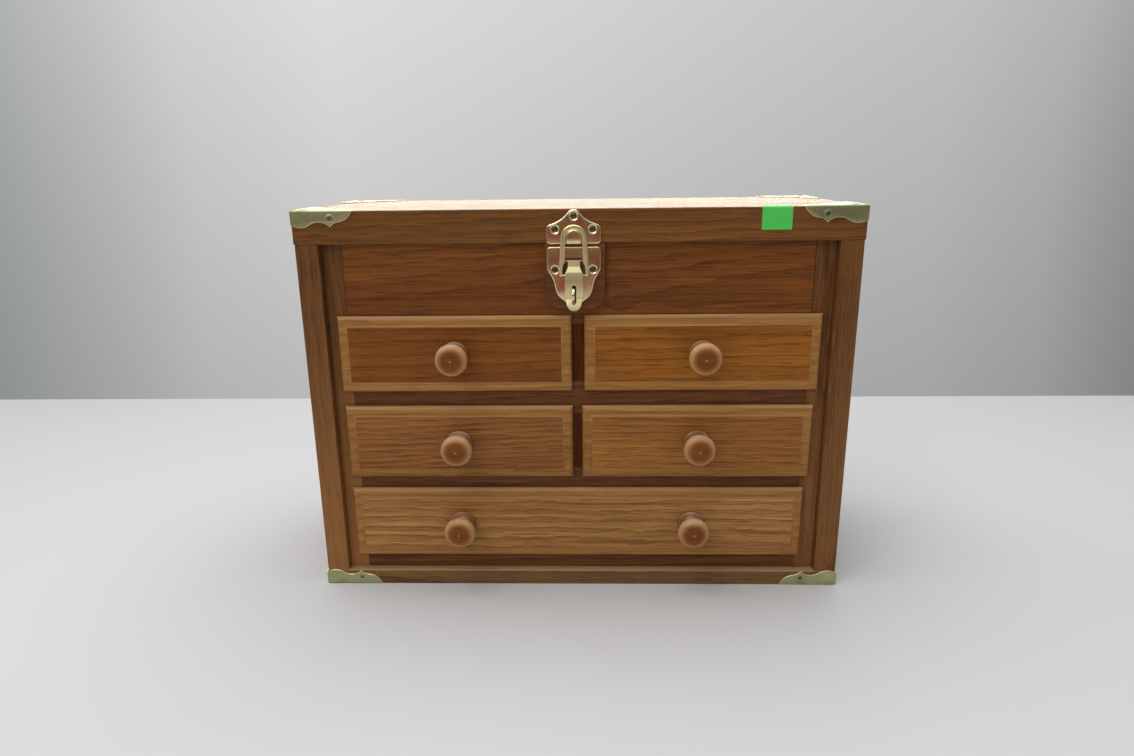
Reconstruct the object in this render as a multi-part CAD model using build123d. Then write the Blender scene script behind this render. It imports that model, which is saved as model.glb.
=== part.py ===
from build123d import *
from math import ceil, cos, pi, sin
import os

os.makedirs("parts", exist_ok=True)

# An oak chest for art supplies: four small drawers over a long one, a till under a hinged lid,
# brass corners and a draw latch. Millimetres. The origin is the centre of the base board's
# underside, +X to the right, +Y to the back, +Z up.

# Driving dimensions of the chest
chest_width = 406.0
chest_height = 294.4
board_depth = 160.0
brass_sheet = 0.8
seam_z = 270.0
base_thickness = 12.0
side_thickness = 16.7
side_inset = 0.5
back_thickness = 10.0
panel_groove = 3.0
edge_round = 0.8

# Face frame, set back behind the front edges of the sides
frame_recess = 6.5
frame_thickness = 12.0
stile_width = 15.0
till_front_proud = 1.5
till_floor_top = 218.0
till_floor_thickness = 5.0
shelf_thickness = 6.0
mullion_width = 22.0
partition_thickness = 16.0

# Drawers: lipped fronts over openings in the face frame
front_height = 57.6
lip = 7.0
row_centres = {"upper": 188.6, "middle": 119.35, "bottom": 52.55}
small_front_width = 173.0
small_box_width = 156.0
wide_front_width = 350.0
wide_box_width = 335.0
lip_thickness = 5.0
field_raise = 1.0
front_border = 7.6
border_round = 3.6
plug_thickness = 7.0
box_height = 42.2
box_back_y = 64.0
box_board = 8.0
bottom_thickness = 3.5
bottom_height = 5.0
guide_height = 10.0
guide_end_y = 60.0

# Knobs
knob_radius = 12.0
knob_length = 21.6
knob_tenon_radius = 4.5
knob_tenon_length = 10.0
knob_sides = 20
wide_knob_offset = 89.0

# Lid
rail_thickness = 12.7
lid_panel_thickness = 6.0
lid_panel_rabbet = 6.0

# Brass corners: a flat leaf and two scalloped flanges
corner_arm = 45.0
nail_along = 28.5
nail_in = 6.0
leaf_nail = 8.0
nail_width = 1.2
nail_length = 9.0
nail_head_radius = 1.4
nail_head_height = 0.45

# Draw latch, centred a little left of the middle; depths are distances in front of the chest
latch_x = -2.2
plate_half_width = 19.15
plate_face = 2.0
catch_top_z = 293.1
catch_bottom_z = 269.2
boss_raise = 1.8
boss_half_width = 5.45
boss_top_z = 279.6
base_top_z = 267.4
base_bottom_z = 225.2
block_thickness = 5.0
block_half_width = 21.35
block_centre_x = -1.45
block_bottom_z = 223.0
block_corner_round = 10.0
lever_pivot_z = 257.5
lever_top_z = 257.8
lever_pivot_depth = 0.65
lever_sheet = 1.0
lever_half_width = 6.35
tip_half_width = 5.4
neck_half_width = 4.25
trunnion_radius = 0.5
trunnion_half_length = 7.5
bail_pivot_z = 247.4
bail_pivot_depth = 3.05
bail_thickness = 1.2
bail_lean = 3.0
bail_pin_radius = 0.6
bail_ear_radius = 1.3
running_clearance = 0.05
slot_width = 2.9
slot_top_z = 240.5
slot_bottom_z = 226.2
staple_thickness = 1.7
staple_offset = -0.4
staple_z = 233.75
staple_half_height = 4.75
staple_nose_depth = 6.0
eye_depth = 7.2
eye_radius = 2.0
screw_head_radius = 2.75
screw_head_height = 1.4
screw_shank_radius = 1.2
screw_length = 10.0
screw_drop = 0.4
dimple_radius = 3.3

# Small round pieces are drawn with a few flats round them, and cut outlines with short chords
fastener_sides = 8
chord_turn = 0.42

# Box hinges on the back, with a tongue on each leaf that stops the lid just past 100 degrees
hinge_x = 130.0
hinge_width = 38.0
hinge_knuckles = 3
hinge_leaf = 1.2
barrel_radius = 2.7
barrel_gap = 0.3
hinge_pin_radius = 1.45
hinge_leaf_height = 18.0
hinge_screw_x = 12.0
hinge_screw_rise = 12.0
stop_width = 6.0
stop_height = 5.4
stop_reach = 4.3
knuckle_gap = 0.1

# Derived places
board_half = chest_width / 2 - brass_sheet
front_y = -board_depth / 2
back_y = board_depth / 2
lid_top_z = chest_height - brass_sheet
side_outer = board_half - side_inset
side_inner = side_outer - side_thickness
frame_front = front_y + frame_recess
frame_back = frame_front + frame_thickness
stile_inner = side_inner - stile_width
inner_back = back_y - back_thickness
opening_height = front_height - 2 * lip
opening_low = {row: z - opening_height / 2 for row, z in row_centres.items()}
opening_high = {row: z + opening_height / 2 for row, z in row_centres.items()}
field_y = frame_front - lip_thickness - field_raise
plug_back = frame_front + plug_thickness
barrel_y = back_y + barrel_gap + barrel_radius

drawer_plan = {
    "upper_left": ("upper", -90.8, small_front_width, small_box_width, [0.0]),
    "upper_right": ("upper", 91.3, small_front_width, small_box_width, [0.0]),
    "middle_left": ("middle", -90.5, small_front_width, small_box_width, [0.0]),
    "middle_right": ("middle", 89.4, small_front_width, small_box_width, [0.0]),
    "bottom": ("bottom", -2.0, wide_front_width, wide_box_width, [-wide_knob_offset, wide_knob_offset]),
}


def block(x0, x1, y0, y1, z0, z1):
    middle = Pos((x0 + x1) / 2, (y0 + y1) / 2, (z0 + z1) / 2)
    return middle * Box(x1 - x0, y1 - y0, z1 - z0)


def in_chords(face):
    # The same outline with every arc cut as a few straight chords
    points = []
    for edge in face.faces()[0].outer_wire().order_edges():
        straight = edge.geom_type == GeomType.LINE
        chords = 1 if straight else ceil(edge.length / edge.radius / chord_turn)
        points += [edge @ (step / chords) for step in range(chords)]
    return make_face(Polyline(*points, close=True))


def closed_half(curves):
    # A face from curves on one side of the vertical axis and their mirror images
    return in_chords(make_face(curves + mirror(curves, Plane.YZ)))


def rounded_symmetric(corners):
    # Corners are (x, z, radius) down the right-hand side; a corner at x = 0 lies on the axis
    left = [(-x, z, radius) for x, z, radius in reversed(corners) if x > 0]
    face = make_face(Polyline(*[(x, z) for x, z, _ in corners + left], close=True))
    for x, z, radius in corners + left:
        corner = face.vertices().sort_by_distance((x, z, 0))[0]
        face = fillet(corner, radius)
    return in_chords(face)


def facing_front(face, near, far, x=latch_x):
    # Stands a face drawn in X and Z upright and thickens it between two distances in front
    sketch = Pos(x, front_y - near, 0) * (Plane.XZ * face)
    return extrude(sketch, amount=far - near, dir=(0, -1, 0))


def side_profile(points, half_width, x=latch_x):
    # Points are (distance in front of the chest, height)
    outline = Polyline(*[(front_y - depth, z) for depth, z in points], close=True)
    sketch = Pos(x - half_width, 0, 0) * (Plane.YZ * make_face(outline))
    return extrude(sketch, amount=2 * half_width, dir=(1, 0, 0))


def turned(profile, sides=fastener_sides):
    # A round piece along Z drawn with flats round it; the profile is (radius, height) from the low end
    rings = []
    for radius, z in profile:
        turns = [2 * pi * step / sides for step in range(sides)]
        rings.append([Vector(radius * cos(turn), radius * sin(turn), z) for turn in turns])
    faces = [Face(Wire.make_polygon(rings[0])), Face(Wire.make_polygon(rings[-1]))]
    for low, high in zip(rings, rings[1:]):
        for step in range(sides):
            faces.append(Face(Wire.make_polygon([low[step - 1], low[step], high[step], high[step - 1]])))
    return Part(Solid(Shell(faces)).wrapped)


def bar_along_x(radius, x0, x1, y, z):
    return Pos((x0 + x1) / 2, y, z) * Rot(0, 90, 0) * Cylinder(radius, x1 - x0)


def in_four_corners(make):
    # The same piece at the four corners of the chest, mirrored left to right and front to back
    first = make()
    right = mirror(first, Plane.YZ)
    return [first, right, mirror(first, Plane.XZ), mirror(right, Plane.XZ)]


# Case


def base_board(corners):
    board = block(-board_half, board_half, front_y, back_y, 0, base_thickness)
    return board - corners


def side_board(dados, back_panel, sign):
    board = block(side_inner, side_outer, front_y, back_y, base_thickness, seam_z)
    edges = board.edges().filter_by(lambda e: abs(e.center().X - side_outer) < 0.01)
    outer = edges.filter_by(lambda e: abs(e.center().Z - base_thickness) > 0.01)
    board = fillet(outer, edge_round)
    if sign < 0:
        board = mirror(board, Plane.YZ)
    return board - dados - back_panel


def back_board(dados):
    reach = side_inner + side_thickness / 2
    board = block(-reach, reach, inner_back, back_y, base_thickness, seam_z)
    return board - dados


def floor_board(top_z, thickness):
    reach = side_inner + panel_groove
    return block(-reach, reach, frame_back, inner_back + panel_groove, top_z - thickness, top_z)


def frame_rail(z0, z1):
    return block(-stile_inner, stile_inner, frame_front, frame_back, z0, z1)


def till_front_board():
    face = frame_front - till_front_proud
    board = block(-stile_inner, stile_inner, face, face + frame_thickness, till_floor_top, seam_z)
    vertical = board.edges().filter_by(Axis.Z).filter_by(lambda e: abs(e.center().Y - face) < 0.01)
    return fillet(vertical, till_front_proud - 0.1)


def mullions():
    half = mullion_width / 2
    return [
        block(-half, half, frame_front, frame_back, opening_low[row], opening_high[row])
        for row in ("upper", "middle")
    ]


def partitions(ceilings):
    half = partition_thickness / 2
    return [
        block(-half, half, frame_back, inner_back, opening_low[row], ceilings[row])
        for row in ("upper", "middle")
    ]


def drawer_guides():
    # Strips beside the drawers; under the long drawer they are deep enough to carry it too
    strips = []
    for row in ("upper", "middle", "bottom"):
        low = opening_low[row]
        strip = block(stile_inner, side_inner, frame_back, guide_end_y, low, low + guide_height)
        if row == "bottom":
            strip += block(
                stile_inner - stile_width, side_inner, frame_back, guide_end_y, base_thickness, low
            )
        strips += [strip, mirror(strip, Plane.YZ)]
    return strips


# Drawers


def drawer_front(row, x, front_width, box_width, knobs, bottom_panel):
    z = row_centres[row]
    lip_board = Pos(x, frame_front - lip_thickness / 2, z) * Box(front_width, lip_thickness, front_height)
    outer_edges = lip_board.faces().sort_by(Axis.Y)[0].edges()
    lip_board = fillet(outer_edges, border_round)
    field_size = (front_width - 2 * front_border, front_height - 2 * front_border)
    field_thickness = lip_thickness + field_raise
    field = Pos(x, frame_front - field_thickness / 2, z) * Box(
        field_size[0], field_thickness, field_size[1]
    )
    low = opening_low[row]
    plug = block(x - box_width / 2, x + box_width / 2, frame_front, plug_back, low, low + box_height)
    return lip_board + field + plug - bottom_panel - knobs


def drawer_bottom(row, x, box_width):
    half = box_width / 2 - box_board + panel_groove
    low = opening_low[row] + bottom_height
    back = box_back_y - box_board + panel_groove
    return block(x - half, x + half, plug_back - panel_groove, back, low, low + bottom_thickness)


def drawer_box(row, x, box_width, bottom_panel):
    low = opening_low[row]
    high = low + box_height
    half = box_width / 2
    left = block(x - half, x - half + box_board, plug_back, box_back_y, low, high)
    right = block(x + half - box_board, x + half, plug_back, box_back_y, low, high)
    inner = half - box_board
    back = block(x - inner, x + inner, box_back_y - box_board, box_back_y, low, high)
    return [piece - bottom_panel for piece in (left, right, back)]


def knob(x, z):
    # A turned mushroom knob along Z: tenon, base ring, drawn-in neck, broad head, eased rim, domed face
    profile = [
        (0.78, 0.0),
        (0.78, 0.09),
        (0.58, 0.2),
        (0.53, 0.38),
        (0.72, 0.56),
        (0.94, 0.66),
        (1.0, 0.77),
        (0.96, 0.88),
        (0.78, 0.97),
        (0.4, 1.0),
    ]
    head = turned([(knob_radius * r, knob_length * h) for r, h in profile], knob_sides)
    tenon = turned([(knob_tenon_radius, -knob_tenon_length), (knob_tenon_radius, 0)])
    return Pos(x, field_y, z) * Rot(90, 0, 0) * (head + tenon)


# Brass corners


def flange_outline():
    # Distance along the edge from the corner, and depth down from it
    outline = Line((0, 0), (corner_arm, 0))
    outline += ThreePointArc((corner_arm, 0), (41.0, 5.8), (35.8, 8.4))
    outline += ThreePointArc((35.8, 8.4), (31.4, 9.5), (28.4, 12.1))
    outline += ThreePointArc((28.4, 12.1), (20.6, 8.5), (14.0, 10.4))
    outline += ThreePointArc((14.0, 10.4), (6.6, 12.5), (0, 10.0))
    outline += Line((0, 10.0), (0, 0))
    return in_chords(make_face(outline))


def leaf_outline():
    middle = 23.5
    side = ThreePointArc((corner_arm, 0), (41.5, 9.0), (32.5, 13.6))
    side += ThreePointArc((32.5, 13.6), (26.4, 17.2), (middle, middle))
    other = ThreePointArc((0, corner_arm), (9.0, 41.5), (13.6, 32.5))
    other += ThreePointArc((13.6, 32.5), (17.2, 26.4), (middle, middle))
    outline = Line((0, 0), (corner_arm, 0)) + side + other + Line((0, corner_arm), (0, 0))
    return in_chords(make_face(outline))


def corner_shell():
    # Front left corner with its leaf on top, its outer point at the origin and flanges hanging down
    leaf = extrude(leaf_outline(), amount=brass_sheet, dir=(0, 0, -1))
    upright = Plane.XZ * mirror(flange_outline(), Plane.XZ)
    front = extrude(upright, amount=brass_sheet, dir=(0, 1, 0))
    left = mirror(front, Plane(origin=(0, 0, 0), z_dir=(1, -1, 0)))
    return leaf + front + left


def nail(x, y, z, direction):
    # The head lies on the face at the given point and the square shank points along the direction
    head = turned([(0.75 * nail_head_radius, -nail_head_height), (nail_head_radius, 0)])
    shank = Pos(0, 0, nail_length / 2) * Box(nail_width, nail_width, nail_length)
    return Plane(origin=(x, y, z), z_dir=direction).location * (head + shank)


def flange_nails():
    return [
        nail(nail_along, 0, -nail_in, (0, 1, 0)),
        nail(0, nail_along, -nail_in, (1, 0, 0)),
    ]


def lid_leaf_nail():
    return nail(leaf_nail, leaf_nail, 0, (0, 0, -1))


def lid_placed(piece):
    return Pos(-board_half - brass_sheet, front_y - brass_sheet, chest_height) * piece


def base_placed(piece):
    turned_over = mirror(piece, Plane.XY)
    return Pos(-board_half - brass_sheet, front_y - brass_sheet, 0) * turned_over


def corner_set(placed):
    return in_four_corners(lambda: placed(corner_shell()))


def nail_set(placed, corner_nails):
    nails = []
    for one in corner_nails:
        nails += in_four_corners(lambda: placed(one))
    return nails


# Lid


def lid_panel():
    x = board_half - lid_panel_rabbet
    y = back_y - lid_panel_rabbet
    return block(-x, x, -y, y, lid_top_z - lid_panel_thickness, lid_top_z)


def mitred_rail(length):
    # A rail along X at the front, mitred at both ends, its outer edges eased
    half = length / 2
    inner = half - rail_thickness
    plan = Polyline((-half, 0), (half, 0), (inner, rail_thickness), (-inner, rail_thickness), close=True)
    rail = extrude(Pos(0, 0, seam_z) * make_face(plan), amount=lid_top_z - seam_z, dir=(0, 0, 1))
    outer = rail.edges().filter_by(Axis.X).filter_by(lambda e: abs(e.center().Y) < 0.01)
    return fillet(outer, edge_round)


def lid_rails(panel):
    front = Pos(0, front_y, 0) * mitred_rail(2 * board_half)
    back = mirror(front, Plane.XZ)
    left = Pos(-board_half, 0, 0) * Rot(0, 0, -90) * mitred_rail(board_depth)
    right = mirror(left, Plane.YZ)
    return {
        "lid_front_rail": front - panel,
        "lid_back_rail": back - panel,
        "lid_left_rail": left - panel,
        "lid_right_rail": right - panel,
    }


# Latch


def pressed_plate(outline, screw_places):
    # A shallow pressed pan: a sheet face with its rim turned back to the wood, holes countersunk
    plate = facing_front(outline, 0, plate_face)
    sheet_back = plate_face - brass_sheet
    plate -= facing_front(offset(outline, -brass_sheet), 0, sheet_back)
    for x, z in screw_places:
        countersink = turned([(dimple_radius - 1.2 * brass_sheet, sheet_back), (dimple_radius, plate_face)])
        plate -= Pos(latch_x + x, front_y, z) * Rot(90, 0, 0) * countersink
    return plate


def catch_outline():
    # A bell: rounded apex, hollow flanks, rounded shoulders
    return rounded_symmetric([
        (0, catch_top_z + 2.7, 5.5),
        (9.5, 285.5, 18.0),
        (plate_half_width, 282.2, 2.2),
        (plate_half_width, catch_bottom_z, 2.0),
    ])


def base_outline():
    # A shield: square shoulders, slightly hollow flanks, rounded lower end
    return rounded_symmetric([
        (plate_half_width, base_top_z, 2.6),
        (plate_half_width, 251.4, 3.0),
        (14.7, 243.5, 14.0),
        (12.3, 232.6, 8.0),
        (0, base_bottom_z - 1.9, 9.0),
    ])


def boss_outline(inset=0.0):
    half_width = boss_half_width - inset
    arch_z = boss_top_z - boss_half_width
    foot = catch_bottom_z + 0.6 if inset == 0 else catch_bottom_z - 1
    half = ThreePointArc(
        (0, arch_z + half_width), (0.7071 * half_width, arch_z + 0.7071 * half_width), (half_width, arch_z)
    )
    half += Line((half_width, arch_z), (half_width, foot)) + Line((half_width, foot), (0, foot))
    return closed_half(half)


def catch_plate():
    plate = pressed_plate(catch_outline(), catch_screw_places)
    raised = plate_face + boss_raise
    boss = facing_front(boss_outline(), plate_face - brass_sheet, raised)
    rim = boss.faces().sort_by(Axis.Y)[0].edges().sort_by(Axis.Z)[1:]
    boss = chamfer(rim, 0.7 * boss_raise)
    hollow = facing_front(boss_outline(brass_sheet), 0, raised - brass_sheet)
    return plate + boss - hollow


def lever_window():
    # Narrow beside the neck, wide below where the bail's pins turn
    neck = Pos(0, 257.5) * Rectangle(2 * 6.0, 4.0)
    below = Pos(0, 250.9) * Rectangle(2 * 7.9, 9.4)
    return fillet((neck + below).vertices(), 0.7)


def latch_base_plate():
    plate = pressed_plate(base_outline(), base_screw_places)
    plate -= facing_front(lever_window(), 0, plate_face)
    return plate - staple()


def staple():
    # The padlock eye: a flat tongue with a round nose, set through the plate
    x0 = latch_x + staple_offset - staple_thickness / 2
    x1 = x0 + staple_thickness
    root = front_y - (plate_face - brass_sheet)
    nose = front_y - staple_nose_depth
    blade = block(x0, x1, nose, root, staple_z - staple_half_height, staple_z + staple_half_height)
    blade += bar_along_x(staple_half_height, x0, x1, nose, staple_z)
    blade -= block(x0, x1, root, back_y, staple_z - 10, staple_z + 10)
    return blade - bar_along_x(eye_radius, x0, x1, front_y - eye_depth, staple_z)


lever_face_line = [
    (1.15, lever_top_z),
    (2.4, 252.8),
    (4.8, 249.6),
    (5.1, 242.0),
    (4.7, 232.2),
    (4.4, 230.8),
    (6.9, 222.2),
]


def lever_front_outline():
    half = Polyline((0, lever_top_z), (neck_half_width, lever_top_z), (neck_half_width, 252.8))
    half += ThreePointArc((neck_half_width, 252.8), (4.9, 250.6), (lever_half_width, 248.8))
    half += Line((lever_half_width, 248.8), (lever_half_width, 231.4))
    half += Line((lever_half_width, 231.4), (tip_half_width, 230.6))
    half += Line((tip_half_width, 230.6), (tip_half_width, 227.7))
    half += ThreePointArc((tip_half_width, 227.7), (0.7071 * tip_half_width, 223.9), (0, 222.3))
    return closed_half(half)


def lever_slot():
    length = slot_top_z - slot_bottom_z
    return Pos(0, (slot_top_z + slot_bottom_z) / 2) * Rot(0, 0, 90) * SlotOverall(length, slot_width)


def latch_lever():
    back_line = [(depth - lever_sheet, z) for depth, z in reversed(lever_face_line)]
    sheet = side_profile(lever_face_line + back_line, lever_half_width)
    sheet &= facing_front(lever_front_outline(), -5, 15)
    flange_low = 231.6
    flange_back = 2.3
    flange_line = [(4.62, 249.85), (4.8, 249.6), (5.1, 242.0), (4.7, flange_low)]
    flange_line += [(flange_back + 1.2, flange_low), (flange_back, flange_low + 2.5), (flange_back, 248.8)]
    channel = side_profile(flange_line, lever_half_width)
    channel -= side_profile(flange_line, lever_half_width - lever_sheet)
    lever = sheet + channel
    pin_y = front_y - bail_pivot_depth
    for side in (-1, 1):
        inner = latch_x + side * (lever_half_width - lever_sheet)
        outer = latch_x + side * lever_half_width
        ear = bar_along_x(bail_ear_radius, min(inner, outer), max(inner, outer), pin_y, bail_pivot_z)
        lever += ear
    reach = 2 * lever_half_width
    lever -= bar_along_x(
        bail_pin_radius + running_clearance, latch_x - reach, latch_x + reach, pin_y, bail_pivot_z
    )
    lever -= facing_front(lever_slot(), -5, 15)
    trunnion = bar_along_x(
        trunnion_radius,
        latch_x - trunnion_half_length,
        latch_x + trunnion_half_length,
        front_y - lever_pivot_depth,
        lever_pivot_z,
    )
    return lever + trunnion


def bail_outline():
    outer = 9.25
    arch_z = 282.9 - outer
    inner = 5.9
    inner_z = 279.8 - inner
    half = ThreePointArc((0, arch_z + outer), (0.7071 * outer, arch_z + 0.7071 * outer), (outer, arch_z))
    half += Polyline((outer, arch_z), (10.4, 256.0), (10.4, bail_pivot_z))
    half += ThreePointArc((10.4, bail_pivot_z), (9.2, bail_pivot_z - 1.2), (8.0, bail_pivot_z))
    half += Polyline((8.0, bail_pivot_z), (8.0, 252.6), (6.5, 257.4), (inner, inner_z))
    half += ThreePointArc((inner, inner_z), (0.7071 * inner, inner_z + 0.7071 * inner), (0, inner_z + inner))
    return closed_half(half)


def latch_bail():
    near = bail_pivot_depth - bail_thickness / 2
    loop = facing_front(bail_outline(), near, near + bail_thickness)
    pivot_y = front_y - bail_pivot_depth
    loop = Pos(0, pivot_y, bail_pivot_z) * Rot(bail_lean, 0, 0) * Pos(0, -pivot_y, -bail_pivot_z) * loop
    for side in (-1, 1):
        ends = sorted([latch_x + side * 4.9, latch_x + side * 9.0])
        loop += bar_along_x(bail_pin_radius, ends[0], ends[1], pivot_y, bail_pivot_z)
    return loop


def latch_block():
    height = seam_z - 0.3 - block_bottom_z
    centre_z = block_bottom_z + height / 2
    outline = Pos(0, centre_z) * Rectangle(2 * block_half_width, height)
    outline = fillet(outline.vertices().group_by(Axis.Y)[0], block_corner_round)
    return facing_front(outline, -block_thickness, 0, x=block_centre_x)


catch_screw_places = [(0.0, 288.8), (-13.3, 279.6), (13.3, 279.6)]
base_screw_places = [(-13.5, 251.3), (13.5, 251.3)]


def wood_screw(x, y, z, direction):
    # Countersunk; the flat of the head is at the point and the shank points along the direction
    screw = turned([
        (screw_head_radius, 0),
        (screw_shank_radius, screw_head_height),
        (screw_shank_radius, screw_length),
    ])
    return Plane(origin=(x, y, z), z_dir=direction).location * screw


def plate_screws(places):
    head_y = front_y - plate_face + screw_drop
    return [wood_screw(latch_x + x, head_y, z, (0, 1, 0)) for x, z in places]


# Hinges


def knuckle_span(number):
    step = hinge_width / hinge_knuckles
    x0 = -hinge_width / 2 + number * step
    return x0 + knuckle_gap / 2, x0 + step - knuckle_gap / 2


def hinge_half(numbers, bore_radius, side):
    # One leaf with its knuckles, drawn at X = 0; side is +1 for the lid's and -1 for the case's
    leaf = block(-hinge_width / 2, hinge_width / 2, back_y, back_y + hinge_leaf, seam_z, seam_z + hinge_leaf_height)
    barrel_cut = barrel_radius + 0.25
    tongue_z = seam_z + stop_height
    for number in range(hinge_knuckles):
        x0, x1 = knuckle_span(number)
        if number in numbers:
            ring = bar_along_x(barrel_radius, x0, x1, barrel_y, seam_z)
            leaf += ring
            leaf -= bar_along_x(bore_radius, x0, x1, barrel_y, seam_z)
        else:
            gap = knuckle_gap
            leaf -= block(x0 - gap, x1 + gap, back_y, back_y + hinge_leaf, seam_z, seam_z + barrel_cut)
    half_stop = stop_width / 2
    leaf -= block(
        -half_stop, half_stop, back_y, back_y + hinge_leaf, tongue_z + hinge_leaf, tongue_z + hinge_leaf + 5
    )
    leaf += block(
        -half_stop, half_stop, back_y + hinge_leaf / 2, barrel_y + stop_reach, tongue_z, tongue_z + hinge_leaf
    )
    if side < 0:
        leaf = mirror(leaf, Plane(origin=(0, 0, seam_z), z_dir=(0, 0, 1)))
    return leaf


def hinge_screw_set(side):
    screws = []
    for centre in (-hinge_x, hinge_x):
        for offset in (-hinge_screw_x, hinge_screw_x):
            z = seam_z + side * hinge_screw_rise
            screws.append(wood_screw(centre + offset, back_y + hinge_leaf, z, (0, -1, 0)))
    return screws


def hinge_leaves(numbers, bore_radius, side, screws):
    leaf = hinge_half(numbers, bore_radius, side)
    return [Pos(centre, 0, 0) * leaf - screws for centre in (-hinge_x, hinge_x)]


def hinge_pins():
    half = hinge_width / 2
    return [
        bar_along_x(hinge_pin_radius, centre - half, centre + half, barrel_y, seam_z)
        for centre in (-hinge_x, hinge_x)
    ]


def case_nodes():
    corners = corner_set(base_placed)
    nails = nail_set(base_placed, flange_nails())
    screws = hinge_screw_set(-1)
    latch_screws = plate_screws(base_screw_places)
    till_floor = floor_board(till_floor_top, till_floor_thickness)
    upper_shelf = floor_board(opening_low["upper"], shelf_thickness)
    lower_shelf = floor_board(opening_low["middle"], shelf_thickness)
    floors = [till_floor, upper_shelf, lower_shelf]
    back = back_board(floors)
    ceilings = {
        "upper": till_floor_top - till_floor_thickness,
        "middle": opening_low["upper"] - shelf_thickness,
    }
    return {
        "base_board": base_board(corners) - nails,
        "left_side": side_board(floors, back, -1) - corners - nails,
        "right_side": side_board(floors, back, 1) - corners - nails,
        "back_panel": back - corners - screws,
        "left_face_stile": block(
            -side_inner, -stile_inner, frame_front, frame_back, base_thickness, seam_z
        ),
        "right_face_stile": block(
            stile_inner, side_inner, frame_front, frame_back, base_thickness, seam_z
        ),
        "till_front": till_front_board() - latch_screws,
        "till_floor": till_floor,
        "upper_rail": frame_rail(opening_high["upper"], till_floor_top),
        "middle_rail": frame_rail(opening_high["middle"], opening_low["upper"]),
        "lower_rail": frame_rail(opening_high["bottom"], opening_low["middle"]),
        "bottom_rail": frame_rail(base_thickness, opening_low["bottom"]),
        "mullions": mullions(),
        "upper_shelf": upper_shelf,
        "lower_shelf": lower_shelf,
        "partitions": partitions(ceilings),
        "drawer_guides": drawer_guides(),
        "base_corners": [corner - nails for corner in corners],
        "base_corner_nails": nails,
        "hinge_case_leaves": hinge_leaves((0, 2), hinge_pin_radius, -1, screws),
        "hinge_case_screws": screws,
        "hinge_pins": hinge_pins(),
        "latch_block": latch_block() - latch_screws,
        "latch_base_plate": latch_base_plate() - latch_screws,
        "latch_base_screws": latch_screws,
        "latch_staple": staple(),
    }


def lid_nodes():
    corners = corner_set(lid_placed)
    nails = nail_set(lid_placed, flange_nails() + [lid_leaf_nail()])
    screws = hinge_screw_set(1)
    latch_screws = plate_screws(catch_screw_places)
    panel = lid_panel()
    rails = {name: rail - nails - screws - latch_screws for name, rail in lid_rails(panel).items()}
    return {
        "lid_top": panel - nails - screws - latch_screws,
        **rails,
        "lid_corners": [corner - nails for corner in corners],
        "lid_corner_nails": nails,
        "hinge_lid_leaves": hinge_leaves((1,), hinge_pin_radius + running_clearance, 1, screws),
        "hinge_lid_screws": screws,
        "latch_catch_plate": catch_plate() - latch_screws,
        "latch_catch_screws": latch_screws,
    }


def drawer_nodes():
    nodes = {}
    for name, (row, x, front_width, box_width, knob_offsets) in drawer_plan.items():
        bottom = drawer_bottom(row, x, box_width)
        knobs = [knob(x + offset, row_centres[row]) for offset in knob_offsets]
        nodes[f"{name}_drawer_front"] = drawer_front(row, x, front_width, box_width, knobs, bottom)
        nodes[f"{name}_drawer_box"] = drawer_box(row, x, box_width, bottom)
        nodes[f"{name}_drawer_bottom"] = bottom
        nodes[f"{name}_drawer_knob"] = knobs
    return nodes


def write(name, shape):
    solids = []
    for piece in shape if isinstance(shape, list) else [shape]:
        solids += piece.solids()
    export_step(Compound(children=solids) if len(solids) > 1 else solids[0], f"parts/{name}.step")
    return solids


nodes = {
    **case_nodes(),
    **lid_nodes(),
    "latch_lever": latch_lever(),
    "latch_bail": latch_bail(),
    **drawer_nodes(),
}

for name, shape in nodes.items():
    solids = write(name, shape)
    print(f"{name}: {len(solids)} solid(s), {sum(s.volume for s in solids):.1f} mm3")
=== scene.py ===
import math

import bmesh
import bpy
from mathutils import Matrix, Vector


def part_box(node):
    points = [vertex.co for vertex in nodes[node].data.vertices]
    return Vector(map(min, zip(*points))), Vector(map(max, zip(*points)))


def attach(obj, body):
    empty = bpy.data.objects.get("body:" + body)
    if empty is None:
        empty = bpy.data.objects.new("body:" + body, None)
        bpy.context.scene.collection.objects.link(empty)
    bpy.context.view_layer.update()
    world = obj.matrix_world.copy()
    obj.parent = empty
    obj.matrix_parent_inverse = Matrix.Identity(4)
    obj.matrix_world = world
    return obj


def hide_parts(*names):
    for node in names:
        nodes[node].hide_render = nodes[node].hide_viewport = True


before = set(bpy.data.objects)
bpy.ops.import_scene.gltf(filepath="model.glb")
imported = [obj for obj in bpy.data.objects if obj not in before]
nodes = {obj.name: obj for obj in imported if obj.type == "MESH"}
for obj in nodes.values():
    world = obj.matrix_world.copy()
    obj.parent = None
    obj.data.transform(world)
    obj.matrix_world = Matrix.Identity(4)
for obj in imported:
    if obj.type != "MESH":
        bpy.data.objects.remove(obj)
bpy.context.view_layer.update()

mm = 0.001

chest = {
    "frameY": -73.5 * mm,  # face frame, set back
    "cornerX": -203 * mm,
    "cornerY": -80.8 * mm,
    "topZ": 294.4 * mm,
    "seamZ": 270 * mm,
}


# tools for modelling

def clearSelection():
    if bpy.context.object and bpy.context.object.mode != "OBJECT":
        bpy.ops.object.mode_set(mode="OBJECT")
    bpy.ops.object.select_all(action="DESELECT")


def pick(*pieces):
    clearSelection()
    for piece in pieces:
        piece.select_set(True)
    bpy.context.view_layer.objects.active = pieces[0]


def openPiece(piece, kind):
    pick(piece)
    bpy.ops.object.mode_set(mode="EDIT")
    bpy.ops.mesh.select_mode(type=kind)
    bpy.ops.mesh.select_all(action="DESELECT")


def closePiece():
    bpy.ops.object.mode_set(mode="OBJECT")


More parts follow.
